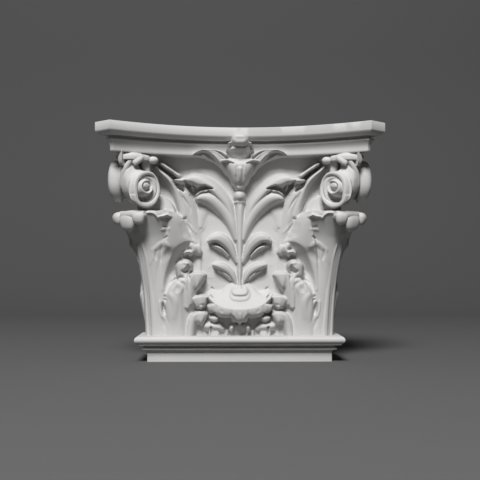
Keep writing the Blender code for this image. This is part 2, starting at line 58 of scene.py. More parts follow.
def solidFrom(name, rings):
    # closed solid through rings of equal length, capped at both ends
    rings = np.asarray(rings, float)
    rows, count = rings.shape[:2]
    points = np.empty((rows * count, 3))
    points[:, 0] = rings[..., 0].ravel()
    points[:, 1] = wallY - rings[..., 1].ravel()
    points[:, 2] = rings[..., 2].ravel()
    i = np.arange(count)
    j = (i + 1) % count
    faces = []
    for row in range(rows - 1):
        low, high = row * count, (row + 1) * count
        faces += np.stack([low + i, low + j, high + j, high + i], 1).tolist()
    faces.append(list(range(count - 1, -1, -1)))
    faces.append(list(range((rows - 1) * count, rows * count)))
    mesh = bpy.data.meshes.new(name)
    mesh.from_pydata((points * mm).tolist(), [], faces)
    obj = bpy.data.objects.new(name, mesh)
    bpy.context.scene.collection.objects.link(obj)
    pick(obj)
    bpy.ops.object.mode_set(mode="EDIT")
    bpy.ops.mesh.select_all(action="SELECT")
    bpy.ops.mesh.normals_make_consistent(inside=False)
    bpy.ops.object.mode_set(mode="OBJECT")
    return obj


def mirrored(rings):
    # the same rings on the -X side
    rings = np.array(rings, float)
    rings[..., 0] *= -1
    return rings


def acrossCorner(rings):
    # the same rings mirrored in the corner's upright plane
    rings = np.array(rings, float)
    x, out = rings[..., 0].copy(), rings[..., 1].copy()
    rings[..., 0], rings[..., 1] = out + diagonal, x - diagonal
    return rings


def smoothLine(rows, perSpan=5):
    # curve through the rows, every column alike
    rows = np.array(rows, float)
    if len(rows) == 1:
        rows = np.vstack([rows, rows + [[0.01, 0, 0, 0, 0]]])
    ends = np.vstack([2 * rows[0] - rows[1], rows, 2 * rows[-1] - rows[-2]])
    line = []
    for i in range(len(rows) - 1):
        a, b, c, d = ends[i : i + 4]
        for t in np.arange(perSpan) / perSpan:
            line.append(0.5 * (2 * b + (c - a) * t + (2 * a - 5 * b + 4 * c - d) * t**2
                               + (3 * b - a - 3 * c + d) * t**3))
    line.append(rows[-1])
    return np.array(line)


# The carving is laid stroke by stroke on a grid of heights. "over" keeps the higher of stroke and
# ground, "add" and "cut" go up or down from the ground and "sink" pulls it down to a level. A row
# of a stroke is x, z, half width and height, or has one half width for each hand, left then right.
# The two letters are the section on each hand, (1 - q**a)**b * (1 - c * q**2) at the share q of
# the half width: dome, flat, slope, round and plate
sections = {"d": (2, 0.5, 0), "f": (4, 0.6, 0), "s": (1, 1.0, 0), "r": (2, 1.0, 0), "p": (8, 0.5, 0.22)}
stroke = {"leastWidth": 0.3, "sinkEdge": 1.7, "far": 1e9}


def strokeAt(x, z, sides, rows):
    # share of the stroke's section and its height, at flat arrays of points
    line = smoothLine(rows)
    nearest = np.full(x.shape, stroke["far"])
    reach = np.ones(x.shape)
    hand = np.ones(x.shape)
    height = np.zeros(x.shape)
    last = len(line) - 2
    for i in range(last + 1):
        a, b = line[i], line[i + 1]
        way = b[:2] - a[:2]
        length = max(np.hypot(*way), 1e-6)
        along = ((x - a[0]) * way[0] + (z - a[1]) * way[1]) / length**2
        t = np.clip(along, 0.0, 1.0)
        dx, dz = x - a[0] - way[0] * t, z - a[1] - way[1] * t
        distance = np.hypot(dx, dz)
        side = (dx * way[1] - dz * way[0]) / length
        leftWidth, rightWidth = a[2] + (b[2] - a[2]) * t, a[3] + (b[3] - a[3]) * t
        width = np.maximum(np.where(side > 0, leftWidth, rightWidth), stroke["leastWidth"])
        share = distance / width
        if i in (0, last):
            # past an end the section narrows to its lesser width
            short = np.maximum(np.minimum(leftWidth, rightWidth), stroke["leastWidth"])
            past = np.abs(along - t) * length
            share = np.where(past > 0, np.hypot(past / short, side / width), share)
        closer = distance < nearest
        nearest = np.where(closer, distance, nearest)
        reach = np.where(closer, share, reach)
        hand = np.where(closer, side, hand)
        height = np.where(closer, a[4] + (b[4] - a[4]) * t, height)
    q = np.clip(reach, 0.0, 1.0)
    left, right = ((1 - q**a) ** b * (1 - c * q**2) for a, b, c in (sections[side] for side in sides))
    return np.where(hand > 0, left, right), height


def carve(x, z, strokes, height):
    # lays the strokes on a grid of heights in their order
    for kind, sides, rows in strokes:
        rows = np.array([row if len(row) == 5 else (*row[:3], *row[2:]) for row in rows], float)
        reach = rows[:, 2:4].max() + 1.0
        near = ((x > rows[:, 0].min() - reach) & (x < rows[:, 0].max() + reach)
                & (z > rows[:, 1].min() - reach) & (z < rows[:, 1].max() + reach))
        if not near.any():
            continue
        share, level = strokeAt(x[near], z[near], sides, rows)
        here = height[near]
        if kind == "over":
            here = np.maximum(here, level * share)
        elif kind == "add":
            here = here + level * share
        elif kind == "cut":
            here = here - level * share
        else:
            mask = np.clip(share * stroke["sinkEdge"], 0.0, 1.0)
            here = np.minimum(here, here + (level - here) * mask)
        height[near] = here
    return height


def eased(height, passes):
    # rounds the hard meetings of the strokes
    for _ in range(passes):
        for axis in (0, 1):
            edges = [(1, 1) if i == axis else (0, 0) for i in (0, 1)]
            padded = np.moveaxis(np.pad(height, edges, mode="edge"), axis, 0)
            height = np.moveaxis((padded[:-2] + 2 * padded[1:-1] + padded[2:]) / 4, 0, axis)
    return height


# Carving of the bell: x is drawn along its face, round the corner, and z up from its foot
cornerLeaf = [
    # body of the leaf up the corner's diagonal
    ("over", "ff", [(110, -6.2, 37.2, 9), (111.2, 18.6, 37.2, 10.3), (111.5, 43.4, 37.1, 11.8),
        (113.6, 68.2, 34.5, 13.6), (115.2, 85.4, 33.3, 15.4), (117.7, 100.2, 32, 17.6),
        (119.9, 113.6, 33.1, 20.6), (121.6, 124.4, 35.4, 25)]),
    # face rising to the lip
    ("over", "ff", [(112.2, 28.4, 14.9, 9.9, 9.6), (111, 48.4, 16, 11.1, 12),
        (110.2, 68.2, 17.2, 13.5, 14.4), (109.9, 85.4, 18.4, 15.9, 16.6), (109.9, 101.3, 20.8, 19.5, 19),
        (109.7, 109.7, 23.1, 21.9, 20.6), (108.7, 116.9, 24.3, 22.6), (107.9, 122.9, 25.4, 26.6, 25),
        (107.2, 132.9, 26.5, 30.7, 30.5), (106.5, 142.7, 26.3, 29.9, 36.8),
        (106.3, 147.7, 26.2, 28, 39.5)]),
    # open above the lip
    ("sink", "ff", [(149.4, 161.7, 6.2, 14), (135.2, 162.4, 11.1, 7.9, 12),
        (112.7, 162.1, 13.5, 9.3, 12), (97.7, 160.9, 14.7, 9.1, 12), (89.1, 158.4, 14.7, 5.6, 12),
        (81.8, 154.6, 13.5, 2.9, 11)]),
    # second body, under the lower lobes
    ("over", "fr", [(75.9, -12.9, 18.4, 10.5), (75.7, 13, 18.4, 12.5), (73.1, 37.7, 17.1, 14.5),
        (69.3, 56.1, 14.7, 16), (65.6, 68.3, 9.8, 17)]),
    # shoulder beside the face
    ("over", "rd", [(88.1, 149.3, 8.4, 3.6, 36), (85.3, 141.6, 16.8, 3.6, 34),
        (85.8, 133.4, 25.8, 3.6, 31.8), (88, 125.1, 34.3, 3.6, 29.6), (89.7, 116.7, 38, 3.6, 27.4),
        (91, 109.5, 37.5, 3.6, 25), (92.1, 101.2, 26.8, 4.9, 20.5), (93.1, 90.3, 19.5, 4.9, 17),
        (93.9, 74.4, 12.2, 4.9, 14.6), (94.6, 56, 7.4, 4.9, 13)]),
    # inner lobes of the lip
    ("over", "dd", [(112.8, 147.3, 3, 40), (108.7, 149.1, 3.1, 43), (104.4, 148.9, 2.8, 43),
        (100.1, 145.6, 2.4, 42), (98.1, 142.1, 1.8, 41)]),
    ("over", "dd", [(97, 144.1, 2.4, 41), (92.3, 144.9, 2.9, 42), (87, 146.3, 3.1, 42),
        (83.2, 144.9, 2.9, 38)]),
    # notches in the edge of the face
    ("cut", "dd", [(91.9, 132.8, 1.2, 3.5), (88.9, 132.8, 1, 3)]),
    ("cut", "dd", [(91.1, 118.9, 1.2, 3.5), (88.5, 121.1, 1, 3)]),
    ("add", "rr", [(94.5, 128.9, 1.7, 0.8), (90.1, 129.6, 2.2, 1.2), (85.2, 130.1, 2, 0.6)]),
    # upper contour of the leaf
    ("add", "dd", [(85.2, 150.4, 1.9, 1), (78.9, 149.9, 2, 1.2), (73.4, 146.4, 1.9, 1.4),
        (67.8, 141.5, 1.9, 1.4), (62.2, 135.7, 1.7, 1.2), (57.9, 130.7, 1.5, 1), (53.8, 126.4, 1.2, 0.8)]),
    # facet under the contour
    ("cut", "fs", [(74.7, 135.7, 13.4, 1.1, 0.4), (72.4, 131.8, 13.4, 1.1, 1.8),
        (69.8, 126.3, 11, 1.1, 2), (68.1, 122.1, 6.1, 1.1, 0.6)]),
    # midrib
    ("over", "ff", [(104.4, -7, 5.2, 10.8), (105.5, 16.5, 4.7, 11.8), (107.6, 43.6, 3.9, 13.1),
        (109.7, 68.2, 3.7, 15), (112.3, 87.9, 3.2, 17.4), (115.2, 102.5, 2.7, 20),
        (117.8, 111.1, 2, 21.4)]),
    # curled leaflets on the shoulder
    ("cut", "rr", [(85.8, 107.4, 3.7, 2, 0.6), (87.1, 103.7, 4.9, 3.1, 1.4), (90.1, 98.8, 6.1, 3.7, 1.4),
        (94.4, 94, 6.1, 3.7, 0.6)]),
    ("add", "rr", [(105, 105.3, 3, 0.8), (98.8, 109.5, 3.7, 1.4), (94.6, 112.7, 4, 1.6),
        (90.1, 112.2, 4, 1.4), (86.5, 109, 3, 1)]),
    ("cut", "dd", [(102.1, 104.4, 1.2, 0.8), (102.3, 98.8, 1.5, 1.8), (101.5, 94, 1.2, 1)]),
    ("add", "dd", [(104.7, 102.8, 1.5, 0.6), (105.6, 95.4, 1.6, 0.7), (108.3, 88.6, 1.5, 0.4)]),
    # valley under the shoulder
    ("cut", "rr", [(58.9, 112.9, 2.4, 3.7, 3), (65.1, 109.2, 5.5, 6.1, 7), (71.8, 103.1, 7.3, 7.5),
        (76.7, 95.2, 7.6, 6.7, 6.5), (81.6, 85.4, 7.3, 6.1, 5), (85.8, 74.4, 6.6, 5.6, 3.8),
        (88.9, 62.1, 4.9, 3), (90.2, 54.8, 2.4, 1.5)]),
    # turned lobe beside the bell
    ("over", "dp", [(59.6, 112.6, 1.5, 4.9, 14), (56.6, 110.6, 1.7, 14.7, 14.5),
        (52.8, 109.2, 1.7, 15.9, 13.5), (49.2, 105.5, 1.5, 11, 11.5), (47.6, 101.4, 1, 6.1, 10)]),
    ("add", "dd", [(58.2, 116.5, 1, 1), (57.9, 111.5, 1, 1)]),
    # small lobe and eye over the valley
    ("over", "dd", [(67.9, 101.5, 2, 14.5), (65, 103, 2.4, 16.5), (61.5, 103, 2.3, 16.5),
        (59.6, 101.3, 1.6, 15)]),
    ("cut", "dd", [(63, 106.8, 1.6, 6), (60.5, 106.4, 1.5, 6)]),
    ("sink", "dd", [(72.9, 93.6, 1.1, 7), (69.5, 95.3, 2, 4), (65.2, 96.3, 2.5, 3), (61.4, 97.1, 2, 5),
        (58.7, 96.5, 1, 9)]),
    # second lobe and its eye
    ("over", "ff", [(72.3, 71.9, 6.1, 15), (71, 78.1, 8.5, 17.5), (69, 83.5, 10.5, 19.5),
        (66.6, 86, 8.5, 19.5)]),
    ("add", "dd", [(81, 78, 1.9, 1), (79, 83.6, 2, 1.2), (75, 88.4, 2.2, 1.4), (69.1, 90.4, 2.2, 1.4),
        (63.4, 88.7, 2, 1.2)]),
    ("cut", "rr", [(62.7, 87.1, 1, 3), (63.2, 83.4, 2.4, 7), (65, 80, 3.4, 9), (68.1, 78.8, 2.7, 2, 7),
        (70.6, 79.3, 1.2, 1, 3)]),
    # gap under it
    ("cut", "dd", [(84.7, 64.6, 0.9, 2), (81, 68, 1.1, 3.5), (77.2, 70.2, 1.2, 4), (73, 71.9, 1, 3),
        (68.6, 71.2, 1.1, 3)]),
    # third lobe, its crest, ruffles and pit
    ("over", "ff", [(78.2, 6.8, 8.6, 11.5), (80, 24.2, 12.2, 14), (80.3, 38.9, 12.7, 16),
        (78.5, 51.2, 11.7, 17.5), (74.5, 59.3, 10, 18.5)]),
    ("add", "dd", [(88.3, 55.1, 1.9, 0.8), (85.5, 61.4, 2.1, 1.2), (81, 65.9, 2.2, 1.4),
        (74.7, 67.8, 2.2, 1.4), (68.4, 67.3, 2, 1.2), (65.4, 63.6, 1.7, 1)]),
    ("cut", "rs", [(78.7, 62.6, 6.1, 1.5, 1), (78.4, 58.5, 7.3, 1.5, 2), (78.4, 54.2, 6.1, 1.5, 1)]),
    ("add", "rr", [(87.8, 52, 3.2, 0.8), (82.7, 48.2, 4.2, 1.4), (79.5, 42, 4.5, 1.6),
        (79, 33.3, 4.2, 1.2), (80.3, 23.4, 3.7, 0.6)]),
    ("sink", "dd", [(94.2, 40.5, 0.9, 9), (93.6, 36, 1.5, 6), (92.8, 30.4, 2, 5), (92.3, 27.2, 1.4, 7)]),
    ("cut", "dd", [(92.1, 48.7, 0.9, 3), (90.9, 47, 0.7, 3)]),
    ("cut", "dd", [(92.4, 45, 0.9, 3), (89.9, 42.7, 0.7, 3)]),
    ("add", "dd", [(97.8, 42, 1.5, 1), (97.9, 33.3, 1.5, 1), (95.2, 24.6, 1.9, 1), (92, 20.9, 2, 0.6)]),
    ("cut", "rr", [(95.1, 21.1, 1.7, 0.8), (93.2, 14.4, 2, 1.4), (91.4, 9.5, 1.7, 0.5)]),
    # hollow down the second body
    ("cut", "rr", [(65.2, 56, 3.7, 0.5), (65.7, 43.8, 5.5, 2), (66.2, 29.1, 5.9, 2),
        (65.2, 13.2, 5.4, 1.5), (64.5, 1, 3.7, 0.5)]),
    # ridge down to the foot
    ("over", "dd", [(61.7, -3, 6.1, 11.5), (59.7, 11.9, 6.7, 13.5), (56.7, 21.8, 6.1, 15),
        (53.4, 26.1, 3.7, 16)]),
    # fourth lobe
    ("over", "ff", [(64.6, 36.4, 4.9, 13.5), (64.4, 53.6, 5.6, 16.4), (64.1, 68.3, 4.4, 17.6)]),
    ("over", "rr", [(60.9, 40.1, 7.4, 13.5), (60.2, 53.6, 8.6, 16.5), (59.9, 64.7, 7.8, 18.5),
        (58.7, 72, 4.9, 19.5)]),
    ("over", "dp", [(60.9, 74.4, 2, 22, 18), (56.4, 75.9, 2.3, 24.1, 19.6), (52, 76.4, 2.4, 25.3, 20),
        (46.6, 75.9, 2.2, 23.6, 19.4), (43.1, 74.4, 1.7, 19.5, 17.6)]),
    ("cut", "dd", [(61.5, 72.5, 1, 1.2), (61.5, 68, 0.7, 1)]),
    ("add", "dd", [(65.1, 71.2, 1.5, 1), (65, 65.6, 1.6, 1.2), (64.9, 58.8, 1.2, 0.8)]),
    ("sink", "dd", [(53.6, 50.1, 1, 8), (50.3, 51.7, 1.5, 6), (46.6, 52.8, 1.4, 6), (43.6, 54.1, 0.9, 8)]),
    ("cut", "dd", [(45.6, 62.4, 0.9, 1.5), (42.7, 61.7, 1, 3)]),
    ("cut", "dd", [(44.4, 57.7, 0.7, 1.5), (42.5, 57, 1, 3)]),
    # fifth lobe
    ("over", "dp", [(56.7, 45.7, 2.2, 14.7, 14), (51.7, 47.5, 2.7, 17.1, 16),
        (46.1, 48.2, 2.7, 17.7, 16), (41.3, 47.7, 1.7, 13.5, 14.5)]),
    ("cut", "dd", [(48.1, 38, 1, 1.2), (44.2, 38.2, 1.2, 1.6)]),
    ("add", "dd", [(48.8, 35.4, 0.9, 0.8), (44.3, 33.3, 1, 0.8)]),
    ("sink", "dd", [(58.8, 27.6, 0.9, 7), (56.4, 28.9, 1, 6), (52.8, 30.5, 1.1, 4.5), (49.1, 31, 1.2, 4),
        (44.9, 30.1, 1.1, 5)]),
    # lowest lobe
    ("over", "df", [(57.2, 25.4, 2.4, 12.2, 14.4), (50.4, 27.9, 2.9, 17.1, 15.5),
        (43.7, 27.6, 2.7, 18.4, 15), (40.1, 26.3, 1.5, 14.7, 12.5)]),
    ("cut", "rr", [(40.3, 21.1, 1.8, 4.9, 0.3), (40.8, 16.3, 2.4, 6.1, 0.8), (43, 10.7, 2, 4.9, 1.4),
        (46.4, 8.3, 1.2, 2.4, 0.8)]),
    ("cut", "dd", [(42.7, 12, 1.2, 4), (44.4, 10, 1.7, 6), (46.6, 9, 1, 4)]),
]

calyxLeaves = [
    # sheath beside the corner leaf
    ("over", "ds", [(51, 128.9, 2.5, 8.7, 0.9), (50.7, 117.7, 2.5, 9.9, 2.2),
        (49.9, 105.3, 2.5, 9.3, 2.4), (49.5, 80.5, 2.5, 9.3, 2), (49.9, 35.8, 2.5, 8.7, 1.4)]),
    ("add", "dd", [(42.3, 146.2, 2, 0.3), (43.3, 138.8, 2.2, 0.8), (45.5, 132, 2.2, 1.1),
        (49.7, 127.6, 1.9, 1)]),
    ("over", "rr", [(45.4, 162.2, 11.1, 2.5), (49.1, 147.3, 8.7, 3), (49.1, 134.9, 4.9, 3.2)]),
    # stalk behind the corner leaf
    ("over", "rr", [(55.3, 117.6, 8.7, 3), (58.3, 134.8, 10.4, 6), (62.6, 154.2, 11.1, 9.4),
        (68.2, 169.9, 11, 12.6), (72.9, 178.2, 9.8, 14.6)]),
    # ridge of the stalk
    ("over", "dd", [(103.3, 206.6, 2.4, 4.2, 21), (97.9, 201.4, 2.7, 4.2, 20.5),
        (91.3, 195.9, 3.4, 4.3, 20), (84.8, 189.5, 3.6, 4.9, 18.5), (79.7, 181.3, 3.7, 5.5, 16),
        (76.2, 172.7, 4.2, 6.1, 13.5), (72.5, 163.9, 4.9, 6.7, 11.5), (69.1, 154.8, 4.9, 7.4, 10),
        (67.7, 148.1, 4.9, 7.4, 9)]),
    # upper lobe of the large leaf
    ("over", "fr", [(3.3, 122.5, 2, 3.7, 5), (8.2, 143.3, 3.2, 4.9, 8), (15.6, 160.2, 4.4, 8, 11.5),
        (26.5, 173.3, 5.4, 10.4, 15.5), (37.4, 183.2, 4.9, 11, 18.5), (48.2, 190.3, 10.2, 9.7, 20.5),
        (57.3, 192.9, 8.5, 7.9, 20.8), (66.4, 191.3, 5.6, 20), (74.3, 190.8, 3.9, 3.2, 19.2),
        (80.4, 191.2, 2.4, 1.9, 18.8)]),
    # lower lobe
    ("over", "dd", [(4.1, 118.8, 3.7, 3, 6), (8.7, 135.2, 6.6, 4.9, 9), (15.1, 148.5, 8.6, 6.6, 10.5),
        (23.4, 158.9, 10, 8.1, 12.4), (32.6, 166.8, 10.3, 8.6, 14.2), (40.7, 170.2, 9.8, 7.6, 15),
        (47.3, 170.2, 8.3, 6.1, 14.8), (51.5, 168.6, 5.1, 3.7, 13.5)]),
    # gap between the lobes
    ("sink", "dd", [(56.3, 175.5, 1.2, 3), (53.6, 177.6, 1.6, 1.5), (50.4, 180.3, 1.9, 1),
        (46.7, 182.1, 1.9, 1), (42.3, 182.6, 1.6, 2), (37.9, 181.4, 1.2, 5), (33.5, 180, 0.7, 9)]),
    ("over", "dd", [(53.5, 172.6, 1.2, 15), (50.1, 175.5, 1.5, 16), (46, 177.3, 1.6, 16.5),
        (39.9, 178.1, 1.5, 16.5)]),
    ("over", "dd", [(31.8, 180.2, 1, 17), (28.9, 180.2, 1.1, 17)]),
    # hollows in the turned tip
    ("sink", "fd", [(81.2, 189.9, 1.1, 1.2, 6), (78.6, 185.6, 3.2, 1.7, 5), (74.3, 181.8, 4, 1.7, 3.5),
        (69.5, 177.6, 1.6, 1.1, 4)]),
    ("over", "dd", [(67.7, 187.6, 1.2, 1.5, 18), (66.1, 182.6, 1.2, 1.7, 15), (64, 178, 1.2, 1.7, 12.5),
        (61.7, 173.8, 1.2, 1.7, 10.5)]),
    ("sink", "dd", [(66.8, 189, 0.9, 8), (65.3, 186.1, 2, 3), (63, 182, 2.5, 2), (59.5, 177.8, 2.2, 2),
        (55.8, 175.7, 1.5, 3)]),
    ("over", "dd", [(58.6, 186.7, 1.3, 17.5), (58.7, 183.1, 1.5, 15), (56.7, 180.6, 1.2, 13)]),
    # groove along the stalk
    ("cut", "dd", [(70.2, 171.1, 0.7, 1.6), (67.3, 166.7, 1, 2.4), (64.4, 162.1, 1, 2.4),
        (61.7, 157, 0.9, 2), (60.5, 150.2, 0.7, 1)]),
    # rolled edge behind the bud
    ("over", "dd", [(97.1, 210.8, 2.7, 2.2, 21), (92.9, 208.2, 3.2, 2.4, 22),
        (86.9, 203.6, 3.4, 2.4, 22), (80.3, 198.8, 3.6, 2.4, 21.5), (74.2, 195.2, 3.9, 2.9, 20)]),
    ("sink", "dd", [(98.5, 207.1, 0.7, 8), (94.6, 204.8, 1.1, 5), (89, 202.7, 1.2, 4),
        (83.2, 198.9, 1.1, 5), (78.2, 195, 0.6, 9)]),
]

stemLeaves = [
    # stem with its grooves
    ("over", "ff", [(0, 165.2, 5.8, 10), (0, 148.1, 5.3, 9.5), (0, 123.6, 4.2, 8.5), (0, 80.5, 2.8, 8),
        (0, 57.1, 2.1, 9)]),
    ("cut", "dd", [(3.7, 162.4, 0.7, 1.4), (3.1, 123.3, 0.6, 1.2), (1.8, 80.5, 0.5, 1)]),
    ("cut", "dd", [(0, 162.8, 1, 1.6), (0, 157.5, 0.5, 0.6)]),
    # bead and collar on top of it
    ("over", "dd", [(0, 172.6, 7.8, 15.5), (0, 171.6, 7.8, 15.5)]),
    ("over", "ff", [(0, 171.1, 5.9, 13), (0, 166.4, 5.9, 11)]),
    ("over", "dd", [(0, 164, 1.1, 11.5), (5.4, 164, 1.1, 11)]),
    # middle pair of leaves
    ("over", "ff", [(3.3, 90.4, 3, 1.9, 5), (7.5, 101.4, 5.4, 3.2, 8.5), (12.6, 110.7, 7.1, 4.9, 11.5),
        (19.2, 117.2, 7.8, 6.4, 14), (26.8, 120.3, 6.8, 6.6, 15.5), (33.4, 118.9, 4.9, 4.6, 15),
        (37.4, 116.5, 2.5, 2.2, 13)]),
    ("over", "dd", [(32.6, 110.3, 1.4, 8.5), (28.1, 109.2, 2.2, 11), (23.2, 106.8, 2.3, 11),
        (18.3, 102.6, 1.8, 9.5), (13.7, 97.3, 1.2, 7)]),
    # lower pair
    ("over", "ff", [(3.1, 62, 2.5, 1.7, 4.5), (6.3, 70.1, 3.7, 2.7, 7.5), (11.4, 77.8, 4.7, 4.2, 10),
        (18.8, 83.4, 5.2, 4.9, 12.5), (26.1, 86.1, 4.4, 13.4), (31.3, 86.8, 2.3, 2.1, 12)]),
    ("over", "dd", [(26, 79.8, 1.2, 6.5), (20.8, 77.5, 2, 8.5), (15.9, 73.9, 1.8, 8.5),
        (11.2, 68.9, 1.2, 6)]),
]

footCup = [
    # upper face of the curled leaf
    ("over", "rs", [(0, 32.9, 6, 35.1, 27), (9.3, 33.3, 6, 33.9, 26.5), (19, 35.2, 6.1, 31.5, 25),
        (27.6, 38.7, 6.1, 26.7, 22.4), (33.8, 43.2, 4.9, 20.7, 18), (38.1, 49.6, 3.7, 11, 12.5)]),
    # oval boss on it
    ("add", "ff", [(0, 50.5, 8.2, 3.2), (5.3, 50.8, 7.9, 3)]),
    ("add", "ff", [(0, 55, 6.1, 6.4, 4.4), (4.6, 55.3, 6.1, 6.2, 4.2)]),
    # seam and gaps at its edge
    ("cut", "dd", [(-0.2, 60.4, 0.7, 1.5), (-0.2, 58, 0.7, 1)]),
    ("cut", "dd", [(4.5, 59.9, 2, 1.8), (6.2, 59, 1.2, 1)]),
    ("cut", "dd", [(34.6, 58.5, 1.1, 3), (32.7, 56.9, 1.1, 3)]),
    ("cut", "dd", [(37.6, 50.6, 1.5, 4), (36.1, 48.2, 2, 6), (34.4, 46.7, 1.7, 7)]),
    ("add", "dd", [(31.4, 46.2, 1.7, 1), (32.4, 42.5, 2, 1)]),
    # side lobe with its overhung face
    ("over", "dp", [(39.1, 36.6, 1.5, 9.8, 18.5), (33.1, 38.4, 1.9, 13.4, 20.5),
        (27.3, 38, 1.7, 13.4, 21.5)]),
    ("sink", "dd", [(38.3, 29.5, 1.7, 8), (35, 26.8, 2.2, 5), (31, 26.4, 2.2, 5), (28.1, 27.9, 1.2, 7)]),
    ("over", "dd", [(33.4, 30.8, 1.2, 15.5), (32.5, 28.3, 1.2, 13)]),
    # lower side lobe
    ("over", "df", [(37.2, 22.8, 1.2, 4.9, 12.5), (32.2, 23.4, 1.8, 7.8, 14.5),
        (27.1, 22.4, 1.5, 6.1, 14)]),
    ("sink", "dd", [(37.9, 20.7, 0.7, 6), (35.7, 17.5, 1, 5), (32.5, 15.2, 1.1, 4), (29.3, 15.5, 1.1, 5)]),
    ("over", "rr", [(40.2, 11.6, 6.2, 9.5), (32.8, 11.6, 7.4, 10), (25.5, 10.3, 5.5, 9),
        (21.1, 8.2, 3.2, 7)]),
    ("sink", "dd", [(35.3, 10, 1.2, 3), (34.8, 8.2, 1, 4)]),
    # petals along the front
    ("over", "pf", [(10.8, 32.8, 11.4, 3.6, 26), (19, 34.5, 12.8, 3.6, 25), (25.9, 36.3, 12.1, 3.6, 23)]),
    ("cut", "dd", [(18.7, 23, 1, 4), (15.8, 23.5, 1.1, 4)]),
    ("add", "dd", [(21.5, 21.9, 0.7, 0.6), (18.2, 20.4, 0.7, 0.8), (14.5, 21.9, 0.7, 0.6)]),
    ("sink", "dd", [(9.9, 26.8, 1, 18), (10, 22.1, 1.2, 10)]),
    ("over", "pf", [(0, 32.6, 18.1, 3.6, 27.2), (7.9, 32.6, 16.4, 3.6, 26.8)]),
    ("cut", "dd", [(8.7, 24.2, 1.2, 6), (7, 18.6, 1.7, 8), (3.3, 14.9, 1.7, 8)]),
    ("add", "dd", [(1.4, 27.7, 1, 0.8), (1.1, 17.8, 1, 0.8)]),
    ("cut", "dd", [(3.1, 27.9, 0.7, 0.9), (2.7, 19.9, 0.7, 0.9)]),
    ("cut", "dd", [(22.4, 32, 0.9, 1.2), (21.4, 29.8, 0.9, 1.2)]),
    # small lobes in the shade under it
    ("over", "dd", [(9.9, 10.2, 3.3, 14), (10.4, 7.7, 3.1, 13)]),
    ("over", "rr", [(16.2, -3.4, 3, 7), (15.9, 5.2, 2.5, 7)]),
    ("over", "rr", [(8.8, -3.5, 2.5, 6), (9, 3.9, 2, 6)]),
    ("over", "dd", [(37, -1.9, 1.1, 10), (37.1, 5.4, 1, 9)]),
    ("cut", "dd", [(40.4, -0.3, 0.7, 1.6), (40.4, 4, 0.7, 1.2)]),
    ("over", "ff", [(29.9, -3.5, 6.2, 6), (29.9, 3.9, 5.7, 6)]),
]

bell = {
    "foot": 31.5, "height": 220.5, "halfWidth": 107.2, "flareSide": 17.0, "out": 51.0, "flareFront": 3.0,
    "cornerRadius": 12.0, "overlap": 3.0, "behindWall": 6.0, "pitch": 0.8, "arcSteps": 64, "easing": 1,
    # nominal height of the corner leaf, by share of the bell's height
    "cornerRise": ((0, 9), (0.2, 11), (0.365, 13.2), (0.53, 19.5), (0.6, 25), (0.66, 31), (0.7, 34),
                   (1, 34)),
}


def bellPlan(share):
    return bell["halfWidth"] + bell["flareSide"] * share**2, bell["out"] + bell["flareFront"] * share**2


def makeBell():
    levels = round(bell["height"] / bell["pitch"])
    zs = np.linspace(-bell["overlap"], bell["height"] + bell["overlap"], levels + 1)
    shares = np.clip(zs / bell["height"], 0, 1)
    radius = bell["cornerRadius"]
    frontCount = round((bell["halfWidth"] - radius) / bell["pitch"])
    sideCount = round((bell["out"] - radius + bell["behindWall"]) / bell["pitch"])
    angles = np.linspace(0, math.pi / 2, bell["arcSteps"] + 1)
    folded = np.minimum(angles, math.pi / 2 - angles)  # the leaf is mirrored at the corner's diagonal
    rise = np.interp(shares, *zip(*bell["cornerRise"]))
    columns = frontCount + len(angles) + sideCount
    drawnX = np.empty((levels + 1, columns))
    baseX, baseOut = np.empty_like(drawnX), np.empty_like(drawnX)
    wayX, wayOut = np.zeros_like(drawnX), np.zeros_like(drawnX)
    for i, share in enumerate(shares):
        half, out = bellPlan(share)
        end = half - radius
        front = end * np.arange(frontCount) / frontCount
        side = (out - radius + bell["behindWall"]) * np.arange(1, sideCount + 1) / sideCount
        drawnX[i] = np.concatenate([front, end + (radius + rise[i]) * np.sin(folded), end - side])
        baseX[i] = np.concatenate([front, end + radius * np.sin(angles), np.full(sideCount, half)])
        baseOut[i] = np.concatenate([np.full(frontCount, out), out - radius + radius * np.cos(angles),
                                     out - radius - side])
        wayX[i, frontCount:] = 1
        wayX[i, frontCount : frontCount + len(angles)] = np.sin(angles)
        wayOut[i, :frontCount] = 1
        wayOut[i, frontCount : frontCount + len(angles)] = np.cos(angles)
    drawnZ = np.repeat(zs[:, None], columns, 1)
    height = np.zeros_like(drawnX)
    for strokes in (calyxLeaves, cornerLeaf, stemLeaves, footCup):
        height = carve(drawnX, drawnZ, strokes, height)
    height = eased(height, bell["easing"])
    x, out = baseX + wayX * height, baseOut + wayOut * height
    half = np.stack([x, out, drawnZ + bell["foot"]], 2)
    other = half[:, :0:-1].copy()
    other[..., 0] *= -1
    return solidFrom("bell", np.concatenate([other, half], 1))


